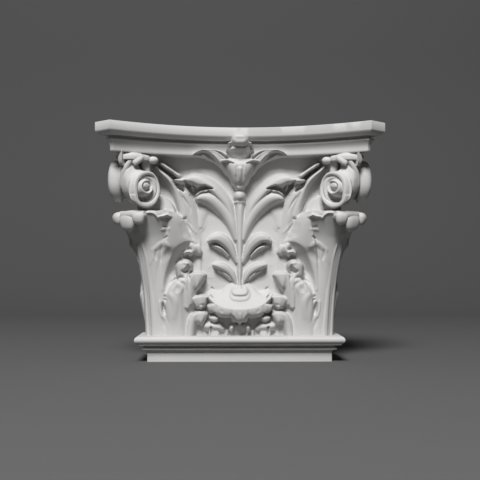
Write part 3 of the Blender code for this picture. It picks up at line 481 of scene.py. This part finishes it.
flowerRelief = [
    # hanging leaf
    ("over", "ff", [(0, 214, 21.7, 29), (0, 209.4, 21.2, 31), (0, 203.4, 18.6, 31), (0, 196.4, 14.7, 29),
        (0, 189.6, 11.6, 25.5), (0, 185.8, 9.7, 22), (0, 184.1, 7.3, 20)]),
    ("over", "rr", [(0, 203.1, 10.8, 33.4), (0, 195, 7.2, 31), (0, 189.3, 4.8, 27.6)]),
    # open above it
    ("sink", "ff", [(28.9, 226.8, 9.8, 9, 20), (14.2, 226.6, 9.7, 9.3, 21), (0, 226.5, 9.7, 10.5, 22),
        (-14.2, 226.6, 9.7, 9.3, 21), (-28.9, 226.8, 9.8, 9, 20)]),
    # its turned top and veins
    ("over", "dd", [(21.6, 213.2, 1.9, 31.5), (16.5, 213.8, 2.2, 33.5), (11.6, 212.8, 2.2, 34.5),
        (7.6, 211, 1.9, 34)]),
    ("cut", "dd", [(4.3, 206.7, 0.7, 1.6), (4, 195.7, 0.7, 1.6), (3.3, 183.4, 0.6, 1)]),
    ("add", "dd", [(6.2, 207.3, 1.1, 0.8), (5.6, 196.1, 1.1, 0.8)]),
    # side leaf
    ("over", "ff", [(13.1, 202.5, 6.1, 7.3, 19), (20.3, 211.7, 6.1, 9.7, 23.5),
        (29.9, 219.5, 6.8, 7.3, 26.5), (40.2, 222.7, 5.6, 4.8, 27.5), (49.8, 223.4, 3.4, 3.6, 26.5),
        (56.6, 222, 1.6, 25)]),
    ("over", "dd", [(57.2, 221.8, 1.5, 27), (52.8, 224.4, 1.7, 28.5), (46.7, 226.7, 1.8, 29.5),
        (38.3, 227.1, 2.1, 29.5), (29.8, 226.2, 2.4, 29), (23.1, 224.3, 2.7, 28.5), (17, 220.7, 2.4, 28)]),
    ("sink", "fd", [(51.9, 222.3, 1.1, 1.9, 22), (44.7, 222.9, 1.7, 2.4, 20), (38, 220.6, 2.4, 2.9, 17),
        (32.3, 215.9, 2.7, 2.9, 14), (27.2, 209.9, 2.5, 11), (21.8, 201.4, 1.7, 8)]),
    ("over", "dd", [(41.9, 226.1, 1.2, 3.6, 28.4), (35.9, 225.5, 1.7, 4.8, 28.4),
        (29.9, 224.2, 1.9, 5.3, 27.6), (24.3, 221.1, 1.9, 5.3, 27), (19, 216.6, 1.9, 4.8, 26.5)]),
    ("over", "dd", [(43.9, 225.7, 1.1, 27.5), (37.1, 223.9, 1.6, 27.5), (31.8, 220, 1.8, 26.5),
        (27.5, 215.1, 1.8, 25), (23.7, 209.8, 1.6, 23)]),
    # cup of the flower
    ("over", "ff", [(0, 226.3, 15.9, 34), (0, 225.4, 14.4, 32.5)]),
    ("cut", "rr", [(9.9, 218.9, 7.8, 6), (0, 218.9, 9.1, 7.5), (-9.9, 218.9, 7.8, 6)]),
    ("over", "dd", [(13.3, 234.7, 2.6, 34.5), (11.2, 234.8, 2.6, 35)]),
    ("over", "dd", [(16.6, 227.7, 1.4, 31.5), (15.1, 227.9, 1.4, 31.5)]),
    ("over", "dd", [(16.3, 222.5, 1, 29), (14.1, 218.3, 1, 28)]),
    # bud
    ("over", "ff", [(3, 237.5, 9.8, 42), (-3, 237.5, 9.8, 42)]),
    ("add", "rr", [(2.9, 244.9, 7, 1.6), (-2.9, 244.9, 7, 1.6)]),
]

flower = {
    "halfWidth": 62.0, "foot": 174.0, "top": 252.0, "base": 50.0, "thickness": 4.0, "pitch": 0.7,
    "easing": 1,
}


def makeFlower():
    halfWidth, foot, top = flower["halfWidth"], flower["foot"], flower["top"]
    xs = np.linspace(-halfWidth, halfWidth, 2 * round(halfWidth / flower["pitch"]) + 1)
    zs = np.linspace(foot, top, round((top - foot) / flower["pitch"]) + 1)
    gridX, gridZ = np.meshgrid(np.abs(xs), zs)
    height = eased(carve(gridX, gridZ, flowerRelief, np.zeros_like(gridX)), flower["easing"])
    back = flower["base"] - flower["thickness"]
    rings = []
    for z, row in zip(zs + bell["foot"], height):
        ring = [(x, flower["base"] + h, z) for x, h in zip(xs, row)]
        rings.append(ring + [(halfWidth, back, z), (-halfWidth, back, z)])
    return solidFrom("flower", rings)


neck = {
    "halfWidth": 113.2, "out": 60.0, "corner": 0.5, "cornerEase": 0.3,
    # step out and height, from the foot up
    "profile": [(0, 0), (0, 10.5), (0.2, 12.0), (0.8, 13.2), (1.8, 14.2), (3.2, 15.0), (5.4, 15.4),
                (5.4, 17.3), (5.0, 17.6), (3.0, 18.0), (3.0, 20.6), (10.4, 20.8), (10.8, 21.1),
                (10.8, 22.5)],
    "astragal": {"low": 22.6, "high": 31.5, "step": 14.7, "spans": 14},
}


def makeNeck():
    low, high, step, spans = neck["astragal"].values()
    middle, radius = (low + high) / 2, (high - low) / 2
    profile = list(neck["profile"])
    for i in range(1, spans + 1):
        angle = -math.pi / 2 + math.pi * i / spans
        profile.append((step + radius * (math.cos(angle) - 1), middle + radius * math.sin(angle)))
    profile.append((0, high))
    rings = []
    for out, z in profile:
        x, front, cut = neck["halfWidth"] + out, neck["out"] + out, neck["corner"]
        ease = cut * neck["cornerEase"]
        plan = [(-x, -behindWall), (-x, front - cut), (-x + ease, front - ease), (-x + cut, front),
                (x - cut, front), (x - ease, front - ease), (x, front - cut), (x, -behindWall)]
        rings.append([(a, b, z) for a, b in plan])
    return solidFrom("neck", rings)


abacus = {
    "halfWidth": 170.0, "horn": 130.0, "cutAlong": 19.0, "cutBack": 16.5, "frontHollow": 50.0,
    "sideHollow": 26.0, "spans": 60, "sideSpans": 16, "bell": 252.0,
    # inset from the fascia and height over the bell
    "profile": [(14.6, -0.2), (14.2, 0.3), (14.1, 2.0), (14.1, 3.6), (13.9, 5.6), (13.5, 7.5),
                (12.8, 9.2), (11.9, 10.7), (10.9, 11.8), (10.3, 12.4), (10.1, 12.9), (10.1, 14.4),
                (10.5, 14.8), (12.6, 15.3), (13.0, 15.6), (13.0, 17.4), (12.8, 17.6), (5.8, 17.9),
                (5.0, 18.2), (3.7, 19.0), (2.2, 20.2), (1.0, 21.4), (0.3, 22.4), (0, 23.2), (0, 32.6),
                (0.3, 32.99)],
}


def crossing(pointA, wayA, pointB, wayB):
    matrix = np.array([wayA, (-wayB[0], -wayB[1])]).T
    steps = np.linalg.solve(matrix, np.subtract(pointB, pointA))
    return np.add(pointA, np.multiply(wayA, steps[0]))


def abacusPlan(inset):
    # hollow front and sides with cut horns, as points of x and out from wall to wall
    frontCorner = np.array((abacus["halfWidth"] - abacus["cutAlong"], abacus["horn"]))
    outerCorner = np.array((abacus["halfWidth"], abacus["horn"] - abacus["cutBack"]))
    cut = (outerCorner - frontCorner) / np.linalg.norm(outerCorner - frontCorner)
    cutInward = np.array((cut[1], -cut[0]))
    frontSlope = 2 * abacus["frontHollow"] / frontCorner[0]
    sideSlope = 2 * abacus["sideHollow"] / outerCorner[1]
    frontWay = np.array((1.0, frontSlope)) / math.hypot(1.0, frontSlope)
    sideWay = np.array((sideSlope, 1.0)) / math.hypot(sideSlope, 1.0)
    base = frontCorner + cutInward * inset
    cornerF = crossing(frontCorner + np.array((frontWay[1], -frontWay[0])) * inset, frontWay, base, cut)
    cornerS = crossing(outerCorner + np.array((-sideWay[1], sideWay[0])) * inset, sideWay, base, cut)
    middle = abacus["horn"] - abacus["frontHollow"] - inset
    atWall = abacus["halfWidth"] - abacus["sideHollow"] - inset
    half = []
    for i in range(abacus["spans"] + 1):
        share = i / abacus["spans"]
        half.append((cornerF[0] * share, middle + (cornerF[1] - middle) * share**2))
    for i in range(abacus["sideSpans"], -1, -1):
        share = i / abacus["sideSpans"]
        half.append((atWall + (cornerS[0] - atWall) * share**2,
                     cornerS[1] * share - behindWall * (1 - share)))
    return [(-x, out) for x, out in reversed(half[1:])] + half


def makeAbacus():
    rings = []
    for inset, z in abacus["profile"]:
        rings.append([(x, out, abacus["bell"] + z) for x, out in abacusPlan(inset)])
    return solidFrom("abacus", rings)


# Face of a volute, drawn inward from its centre and up
voluteRelief = [
    # floor of the scroll
    ("over", "ff", [(0.2, 3.9, 14.3, 3.2), (0.2, -0.9, 14.3, 3.2)]),
    ("over", "rr", [(8.5, 12.7, 3.5, 4.2), (1.1, 15.2, 4.3, 4.8), (-5.9, 14.3, 3.6, 4.8)]),
    ("over", "rr", [(-3.6, 15.4, 3.6, 4.6), (-9.9, 12.3, 4.8, 5.6), (-12.9, 6, 5.3, 6.2),
        (-13.2, -1.1, 5.3, 6.2), (-10.5, -8.5, 4.6, 5.4), (-5.9, -13.6, 2.9, 3.6)]),
    # rim
    ("over", "ff", [(14.2, -13.1, 2.8, 6.4), (16.8, -4.4, 3.5, 7), (17.1, 4.4, 3.8, 7),
        (14.2, 12.2, 3.8, 7.2), (8.5, 17.4, 3.3, 7.4), (0.2, 20, 2.6, 7), (-8, 19.3, 2.3, 7),
        (-13.9, 14.5, 2.2, 7), (-17.1, 7.3, 2.3, 7), (-17.6, -0.8, 2.4, 7), (-14.8, -9.2, 2.6, 7),
        (-8.2, -15.9, 3.1, 7), (0.9, -18.8, 3.3, 7), (9.4, -17.8, 3.3, 7), (15.1, -13.2, 3.2, 6.8),
        (17.4, -8, 2.8, 6.8)]),
    ("add", "dd", [(-19.1, 7.7, 1, 0.5), (-19.1, -0.7, 1.1, 0.5), (-16, -10.6, 1.1, 0.5),
        (-8.9, -17.7, 1.2, 0.5), (0.9, -20.7, 1.2, 0.5), (10.6, -19.6, 1.2, 0.5), (17.4, -14.6, 1.2, 0.5)]),
    # mound of the inner turns, ring, groove and eye
    ("over", "ff", [(6.2, 2.2, 10.2, 7), (0.8, 2.6, 10.2, 7)]),
    ("over", "dd", [(-3.2, 10.1, 1.8, 8.4), (1.7, 10.6, 2.6, 9), (6.7, 9.1, 2.8, 9.3),
        (10.6, 5.4, 3.1, 9.5), (10.6, 0.7, 3.2, 9.7), (7.3, -3.1, 3.2, 9.9), (2, -4.6, 3.1, 9.9),
        (-2.9, -2.8, 2.7, 9.7), (-5.6, 0.7, 2.3, 9.3), (-6.5, 4.4, 1.6, 8.6)]),
    ("sink", "dd", [(-3.5, 3.7, 1.1, 6.4), (-2.6, 0.7, 1.3, 4.8), (1.4, -1.5, 1.5, 4.4),
        (5.6, -0.8, 1.4, 5), (7.6, 2.1, 0.9, 7)]),
    ("over", "ff", [(4.7, 4.5, 4.4, 9.6), (2, 4.7, 4.4, 9.6)]),
    # open throat below
    ("sink", "dd", [(13, -5.3, 1.2, 1), (8.8, -9.8, 2.4, -4), (2.6, -11.5, 3.1, -6),
        (-3.2, -10, 2.6, -5), (-6.2, -6.4, 1.2, -1)]),
]

volute = {
    "centre": (110.1, 93.8, 208.0), "faceDepth": 7.0, "halfAcross": 23.4, "halfUp": 22.3, "hub": 0.01,
    "spokes": 168, "faceRings": 44, "easing": 1, "blur": (1, 2, 3, 4, 3, 2, 1),
    # radius at the back by angle, from outward through upward
    "back": ((0, 20.8), (20, 24), (38, 29), (52, 34), (64, 38), (74, 37), (82, 30), (92, 21.5),
             (120, 20), (180, 19), (270, 17.2), (315, 16.8), (340, 18.4), (360, 20.8)),
    "flareFrom": 5.0, "flareOver": 9.0,
    # depth and inset of the wall
    "wall": ((7.6, 0.2), (8.6, 0.9), (9.6, 1.4), (10.6, 1.3), (12, 0.5), (14, 0.1), (18, 0.0),
             (22, 0.2), (24.2, 0.9), (25.6, 2.2), (26.8, 3.8)),
}


def makeVolute():
    angles = 2 * np.pi * np.arange(volute["spokes"]) / volute["spokes"]
    cos, sin = np.cos(angles), np.sin(angles)
    faceRadius = np.hypot(volute["halfAcross"] * cos, volute["halfUp"] * sin)
    backRadius = np.interp(np.degrees(angles), *zip(*volute["back"]))
    blur = np.array(volute["blur"])
    lap = len(blur) // 2
    backRadius = np.concatenate([backRadius[-lap:], backRadius, backRadius[:lap]])
    backRadius = np.convolve(backRadius, blur / blur.sum(), "valid")
    shares = np.linspace(volute["hub"], 1, volute["faceRings"])
    across = shares[:, None] * faceRadius * cos
    up = shares[:, None] * faceRadius * sin
    relief = eased(carve(across, up, voluteRelief, np.zeros_like(across)), volute["easing"])
    rows = [np.stack([a, u, volute["faceDepth"] - r], 1) for a, u, r in zip(across, up, relief)]
    for depth, inset in volute["wall"]:
        share = min(max((depth - volute["flareFrom"]) / volute["flareOver"], 0.0), 1.0)
        radius = faceRadius + (backRadius - faceRadius) * share * share * (3 - 2 * share) - inset
        rows.append(np.stack([radius * cos, radius * sin, np.full_like(angles, depth)], 1))
    local = np.array(rows)
    root = math.sqrt(0.5)
    x0, out0, z0 = volute["centre"]
    x = x0 + (local[..., 0] + local[..., 2]) * root
    out = out0 + (local[..., 0] - local[..., 2]) * root
    return np.stack([x, out, z0 + local[..., 1]], 2)


oval = {"spokes": 28, "perSpan": 6, "squareness": 0.75, "leastHalf": 0.05}


def sweep(rows, way):
    # oval section along a path of x, out, z, half width along way, half depth; way is level
    line = smoothLine(rows, oval["perSpan"])
    way = np.array((way[0], way[1], 0.0)) / math.hypot(*way)
    rings = []
    for i, row in enumerate(line):
        ahead = line[min(i + 1, len(line) - 1), :3] - line[max(i - 1, 0), :3]
        normal = np.cross(way, ahead)
        normal /= max(np.linalg.norm(normal), 1e-9)
        ring = []
        for angle in 2 * np.pi * np.arange(oval["spokes"]) / oval["spokes"]:
            flat = math.copysign(abs(math.cos(angle)) ** oval["squareness"], math.cos(angle))
            ring.append(row[:3] + way * max(row[3], oval["leastHalf"]) * flat
                        + normal * max(row[4], oval["leastHalf"]) * math.sin(angle))
        rings.append(ring)
    return np.array(rings)


# Lobes of the curled leaf tip: plan point, outward way, top, drop, half width and half depth
tipLobes = [
    {"at": (136.0, 82.5), "way": (1, 1), "top": 184.0, "drop": 25.0, "width": 12.4, "depth": 5.6},
    {"at": (121.6, 92.6), "way": (0.45, 0.9), "top": 184.0, "drop": 17.0, "width": 8.4, "depth": 5.6},
]
# path of a lobe: how far outward, how far under the top in mm, in depths and in drops, and the
# share of the half width and of the half depth
tipPath = ((-34, 22, 0, 0, 1, 1), (-20, 10, 0, 0, 1, 1), (-9, 0, 1, 0, 1, 1), (-3.4, 0, 1.25, 0, 1.02, 1),
           (-0.4, 0, 0, 0.45, 1.02, 0.95), (-0.9, 0, 0, 0.72, 0.9, 0.85), (-2.6, 0, 0, 0.9, 0.66, 0.6),
           (-4.2, 0, 0, 1, 0.2, 0.2))


def makeTipLobe(lobe):
    wayX, wayOut = np.array(lobe["way"], float) / math.hypot(*lobe["way"])
    x, out = lobe["at"]
    width, depth, drop = lobe["width"], lobe["depth"], lobe["drop"]
    rows = []
    for reach, under, depths, drops, wide, deep in tipPath:
        z = lobe["top"] - under - depth * depths - drop * drops
        rows.append((x + wayX * reach, out + wayOut * reach, z, width * wide, depth * deep))
    return sweep(rows, (-wayOut, wayX))


# Small members as rows of x, out, z, half width and half depth: the front roll of the side volute,
# the band from the front volute up to the horn leaf, the stalk under the bud, the leaf's tongue
straps = {
    "sideRoll": [(147, 70, 239.4, 6.2, 4.6), (149.4, 79, 238.4, 7.2, 6.0), (150.4, 83.6, 231, 7.8, 7.0),
                 (150.8, 84.4, 222, 8.1, 7.2), (150.6, 83, 213, 8.0, 7.2), (149.8, 78.6, 205.6, 7.3, 6.6),
                 (148.6, 71, 200.6, 6.2, 5.5), (147.4, 62, 198.6, 4.0, 4.0)],
    "band": [(125.5, 93, 250, 3.6, 5.0), (129.2, 96, 243.6, 3.8, 5.4), (133.6, 96, 237.6, 4.0, 5.6),
             (137.4, 94, 231, 4.2, 5.6), (139.6, 91, 223, 4.2, 5.4), (140, 88.5, 214, 3.8, 5.0),
             (138.2, 86, 206, 3.0, 4.0)],
    "stalk": [(112.6, 76, 224, 3.6, 4.4), (113.4, 79, 231, 5.0, 4.8), (114.0, 80, 238, 5.4, 5.0),
              (114.4, 81, 247, 5.4, 5.0)],
    "tongue": [(121.0, 94, 247, 7.4, 4.6), (122.0, 97.6, 243, 6.6, 4.2), (123.6, 99.6, 239.2, 4.2, 3.2),
               (124.8, 100, 236.2, 1.0, 0.9)],
}
# lip of the curled leaf tip, behind its lobes
tipCurl = [(113, 92.6, 178.2, 5.0, 4.2), (119.5, 91.4, 178.6, 5.6, 5.0), (126.5, 88, 178.6, 6.0, 5.2),
           (133, 82.4, 178.4, 6.0, 5.2), (139.4, 75.4, 178.2, 5.8, 5.0), (144.4, 68, 178, 5.0, 4.4)]

# Block that ties the volutes to the abacus under each horn: rings by share of the plan and of the height
hornBlock = {
    "inset": 25.0, "depth": 22.0, "low": 236.0, "high": 253.5,
    "rings": ((0.72, 0.0), (0.9, 0.12), (0.97, 0.3), (1.0, 0.5), (1.0, 1.0)),
}


def makeHornBlock():
    ring = abacusPlan(hornBlock["inset"])
    count = abacus["sideSpans"] + 1
    front, outer = np.array(ring[-count - 1]), np.array(ring[-count])
    d = hornBlock["depth"]
    plan = [(front[0] - d, front[1] - d * 1.2), (front[0] - d * 0.3, front[1] - d * 0.3),
            tuple((front + outer) / 2), tuple(outer), (outer[0] - d * 0.4, outer[1] - d * 1.5)]
    centre = np.mean(plan, 0)
    rings = []
    for share, z in hornBlock["rings"]:
        height = hornBlock["low"] + (hornBlock["high"] - hornBlock["low"]) * z
        rings.append([(*(centre + (np.array(point) - centre) * share), height) for point in plan])
    return np.array(rings)


# Core of the corner behind leaf tip and volutes: plan of x and out
cornerCore = {
    "plan": [(90, 36), (103, 63), (113, 72), (125, 60), (116, 50), (93, 33)], "low": 172.0, "high": 253.0,
}


def makeCore():
    levels = (cornerCore["low"], cornerCore["high"])
    return np.array([[(x, out, z) for x, out in cornerCore["plan"]] for z in levels])


# Horn leaf: edge of x and out, the front from tip to inner end, then back under the abacus, and
# rings by share of that plan and height
hornLeaf = {
    "edge": [(147.5, 99.0), (141.0, 101.8), (134.0, 103.4), (127.5, 103.4), (121.0, 101.0), (114.5, 96.4),
             (108.0, 88.0), (124.0, 78.0), (138.0, 84.0), (146.5, 94.0)],
    "levels": ((0.84, 243.0), (0.96, 243.4), (1.0, 244.8), (1.0, 247.0), (0.97, 248.2), (0.9, 249.2),
               (0.6, 250.5), (0.5, 253.0)),
    "perSpan": 8,
}


def makeHornLeaf():
    rows = [(x, out, 0, 0, 0) for x, out in hornLeaf["edge"] + hornLeaf["edge"][:1]]
    line = smoothLine(rows, hornLeaf["perSpan"])[:-1, :2]
    centre = line.mean(0)
    return np.array([[(*(centre + (point - centre) * share), z) for point in line]
                     for share, z in hornLeaf["levels"]])


sideVolute = {"z": 217, "scale": 0.8}
sideLobeOffset = (4.3, -0.2, 0.4)  # so that the twin lobes don't meet edge on
bud = {"at": (104.6, 86.0, 244.0), "radii": (6.2, 6.0, 4.6), "segments": 32, "rings": 16}

parts = [makeBell()]
print("bell carved", len(parts[0].data.vertices))
parts += [makeNeck(), makeAbacus(), makeFlower()]
print("neck, abacus and flower made")
coil = makeVolute()
shapes = {"hornBlock": makeHornBlock(), "core": makeCore(), "hornLeaf": makeHornLeaf()}
shapes["voluteFront"] = coil
shapes["voluteSide"] = acrossCorner(coil)
rise = shapes["voluteSide"][..., 2] - volute["centre"][2]
shapes["voluteSide"][..., 2] = sideVolute["z"] + sideVolute["scale"] * rise
for i, lobe in enumerate(tipLobes):
    shapes[f"tipLobe{i}"] = makeTipLobe(lobe)
    if i > 0:
        shapes[f"tipLobeSide{i}"] = acrossCorner(shapes[f"tipLobe{i}"]) + np.array(sideLobeOffset)
for name, rows in straps.items():
    shapes[name] = sweep(rows, (1, 0))
shapes["tipCurl"] = sweep(tipCurl, (0.7, 1))
for name, rings in shapes.items():
    parts.append(solidFrom(f"{name}Right", rings))
    parts.append(solidFrom(f"{name}Left", mirrored(rings)))
for side in (-1, 1):
    bpy.ops.mesh.primitive_uv_sphere_add(segments=bud["segments"], ring_count=bud["rings"], radius=1.0)
    ball = bpy.context.object
    ball.name = "bud"
    ball.scale = [radius * mm for radius in bud["radii"]]
    ball.location = inRow(side * bud["at"][0], *bud["at"][1:])
    pick(ball)
    bpy.ops.object.transform_apply(location=True, rotation=True, scale=True)
    parts.append(ball)
print("pieces made", len(parts))


def join(body, other, operation="UNION"):
    pick(body)
    modifier = body.modifiers.new(other.name, "BOOLEAN")
    modifier.operation = operation
    modifier.solver = "MANIFOLD"
    modifier.object = other
    bpy.ops.object.modifier_apply(modifier=modifier.name)
    bpy.data.objects.remove(other, do_unlink=True)


# Everything but the bell is joined first, since the small pieces join fast, and the bell last
capital, crown = parts[:2]
capital.name = "pilasterCapital"
for part in parts[2:]:
    join(crown, part)
join(capital, crown)
print("joined", len(capital.data.polygons), flush=True)

# Flat back: what runs on behind the wall plane is cut off with a box
backCut = {"scale": (0.6, 0.04, 0.6), "location": (0.0, wallY * mm + 0.01999, 0.15)}
bpy.ops.mesh.primitive_cube_add(size=1.0)
room = bpy.context.object
room.scale = backCut["scale"]
room.location = backCut["location"]
pick(room)
bpy.ops.object.transform_apply(location=True, rotation=True, scale=True)
join(capital, room, "DIFFERENCE")

finish = {"triangles": 180000, "smoothAngle": 38}
triangles = sum(len(p.vertices) - 2 for p in capital.data.polygons)
thin = capital.modifiers.new("thin", "DECIMATE")
thin.ratio = min(1.0, finish["triangles"] / triangles)
bpy.ops.object.modifier_apply(modifier=thin.name)
bpy.ops.object.shade_smooth_by_angle(angle=math.radians(finish["smoothAngle"]))
print("thinned", triangles, "to", len(capital.data.polygons))


def linear(hexColour):
    channels = [int(hexColour[i : i + 2], 16) / 255 for i in (1, 3, 5)]
    return (*(c / 12.92 if c <= 0.04045 else ((c + 0.055) / 1.055) ** 2.4 for c in channels), 1.0)


def addNode(material, kind, settings=None, links=None):
    node = material.node_tree.nodes.new(kind)
    for name, value in (settings or {}).items():
        if name in node.inputs:
            node.inputs[name].default_value = value
        else:
            setattr(node, name, value)
    for name, socket in (links or {}).items():
        material.node_tree.links.new(socket, node.inputs[name])
    return node


# Rigid polyurethane with its factory primer: a dead matt off-white that shows no grain from a step
# away, a fine spray tooth close up, and very slightly greyer broad patches
primer = {
    "light": "#c6c5c4", "shade": "#c3c2c1", "patchScale": 28.0, "patchEdges": (0.35, 0.65),
    "toothScale": 1900.0, "toothStrength": 0.12, "toothDepth": 0.0002, "roughness": 0.78, "ior": 1.5,
}


def primedPolyurethane():
    material = bpy.data.materials.new("primedPolyurethane")
    material.use_nodes = True
    shader = material.node_tree.nodes["Principled BSDF"]
    place = addNode(material, "ShaderNodeTexCoord").outputs["Object"]
    broad = addNode(material, "ShaderNodeTexNoise", {"Scale": primer["patchScale"], "Detail": 3.0},
                    {"Vector": place})
    tooth = addNode(material, "ShaderNodeTexNoise", {"Scale": primer["toothScale"], "Detail": 2.0},
                    {"Vector": place})
    ramp = addNode(material, "ShaderNodeValToRGB", links={"Fac": broad.outputs["Fac"]})
    stops = ramp.color_ramp.elements
    stops[0].position, stops[1].position = primer["patchEdges"]
    stops[0].color, stops[1].color = linear(primer["shade"]), linear(primer["light"])
    bump = addNode(material, "ShaderNodeBump",
                   {"Strength": primer["toothStrength"], "Distance": primer["toothDepth"]},
                   {"Height": tooth.outputs["Fac"]})
    links = material.node_tree.links
    links.new(ramp.outputs["Color"], shader.inputs["Base Color"])
    links.new(bump.outputs["Normal"], shader.inputs["Normal"])
    shader.inputs["Roughness"].default_value = primer["roughness"]
    shader.inputs["IOR"].default_value = primer["ior"]
    return material


capital.data.materials.clear()
capital.data.materials.append(primedPolyurethane())
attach(capital, "root")
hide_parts("pilaster_capital")
print("primed")

# Studio: one grey sheet, floor and wall with a soft bend between
sheet = {
    "width": 9.0, "front": -1.6, "bend": 0.9, "bendSpans": 24, "back": 1.9, "top": 4.0,
    "colour": "#5c5c5c", "roughness": 0.9,
}


def makeSheet():
    bend, centre = sheet["bend"], sheet["back"] - sheet["bend"]
    line = [(sheet["front"], 0.0), (centre, 0.0)]
    for i in range(1, sheet["bendSpans"]):
        angle = math.pi / 2 * i / sheet["bendSpans"]
        line.append((centre + bend * math.sin(angle), bend - bend * math.cos(angle)))
    line += [(sheet["back"], bend), (sheet["back"], sheet["top"])]
    half = sheet["width"] / 2
    points = [(x, y, z) for y, z in line for x in (-half, half)]
    faces = [(2 * i, 2 * i + 1, 2 * i + 3, 2 * i + 2) for i in range(len(line) - 1)]
    mesh = bpy.data.meshes.new("floor")
    mesh.from_pydata(points, [], faces)
    mesh.shade_smooth()
    obj = bpy.data.objects.new("floor", mesh)
    bpy.context.scene.collection.objects.link(obj)
    return obj


# Matt grey background paper: even and dark enough for the white casting to stand out
def greyPaper():
    material = bpy.data.materials.new("greyPaper")
    material.use_nodes = True
    shader = material.node_tree.nodes["Principled BSDF"]
    shader.inputs["Base Color"].default_value = linear(sheet["colour"])
    shader.inputs["Roughness"].default_value = sheet["roughness"]
    return material


floor = makeSheet()
floor.data.materials.append(greyPaper())

studio = {
    "world": "#222223", "key": 169.0, "keySize": 1.0, "keyAt": (-0.42, -2.5, 2.7), "keyAim": (0, 0, 0.15),
    "cameraAt": (-0.015, -0.98, 0.112), "cameraAim": (0, -0.015, 0.1484), "lens": 60, "sensor": 36,
}


def aim(obj, target):
    obj.rotation_euler = (Vector(target) - obj.location).to_track_quat("-Z", "Y").to_euler()


world = bpy.data.worlds.new("studio")
bpy.context.scene.world = world
world.use_nodes = True
world.node_tree.nodes["Background"].inputs["Color"].default_value = linear(studio["world"])
bpy.ops.object.light_add(type="AREA", location=studio["keyAt"])
key = bpy.context.object
key.data.energy = studio["key"]
key.data.size = studio["keySize"]
aim(key, studio["keyAim"])
bpy.context.scene.view_settings.view_transform = "Standard"

bpy.ops.object.camera_add(location=studio["cameraAt"])
camera = bpy.context.object
camera.data.lens = studio["lens"]
camera.data.sensor_width = studio["sensor"]
aim(camera, studio["cameraAim"])
bpy.context.scene.camera = camera
print("studio set")
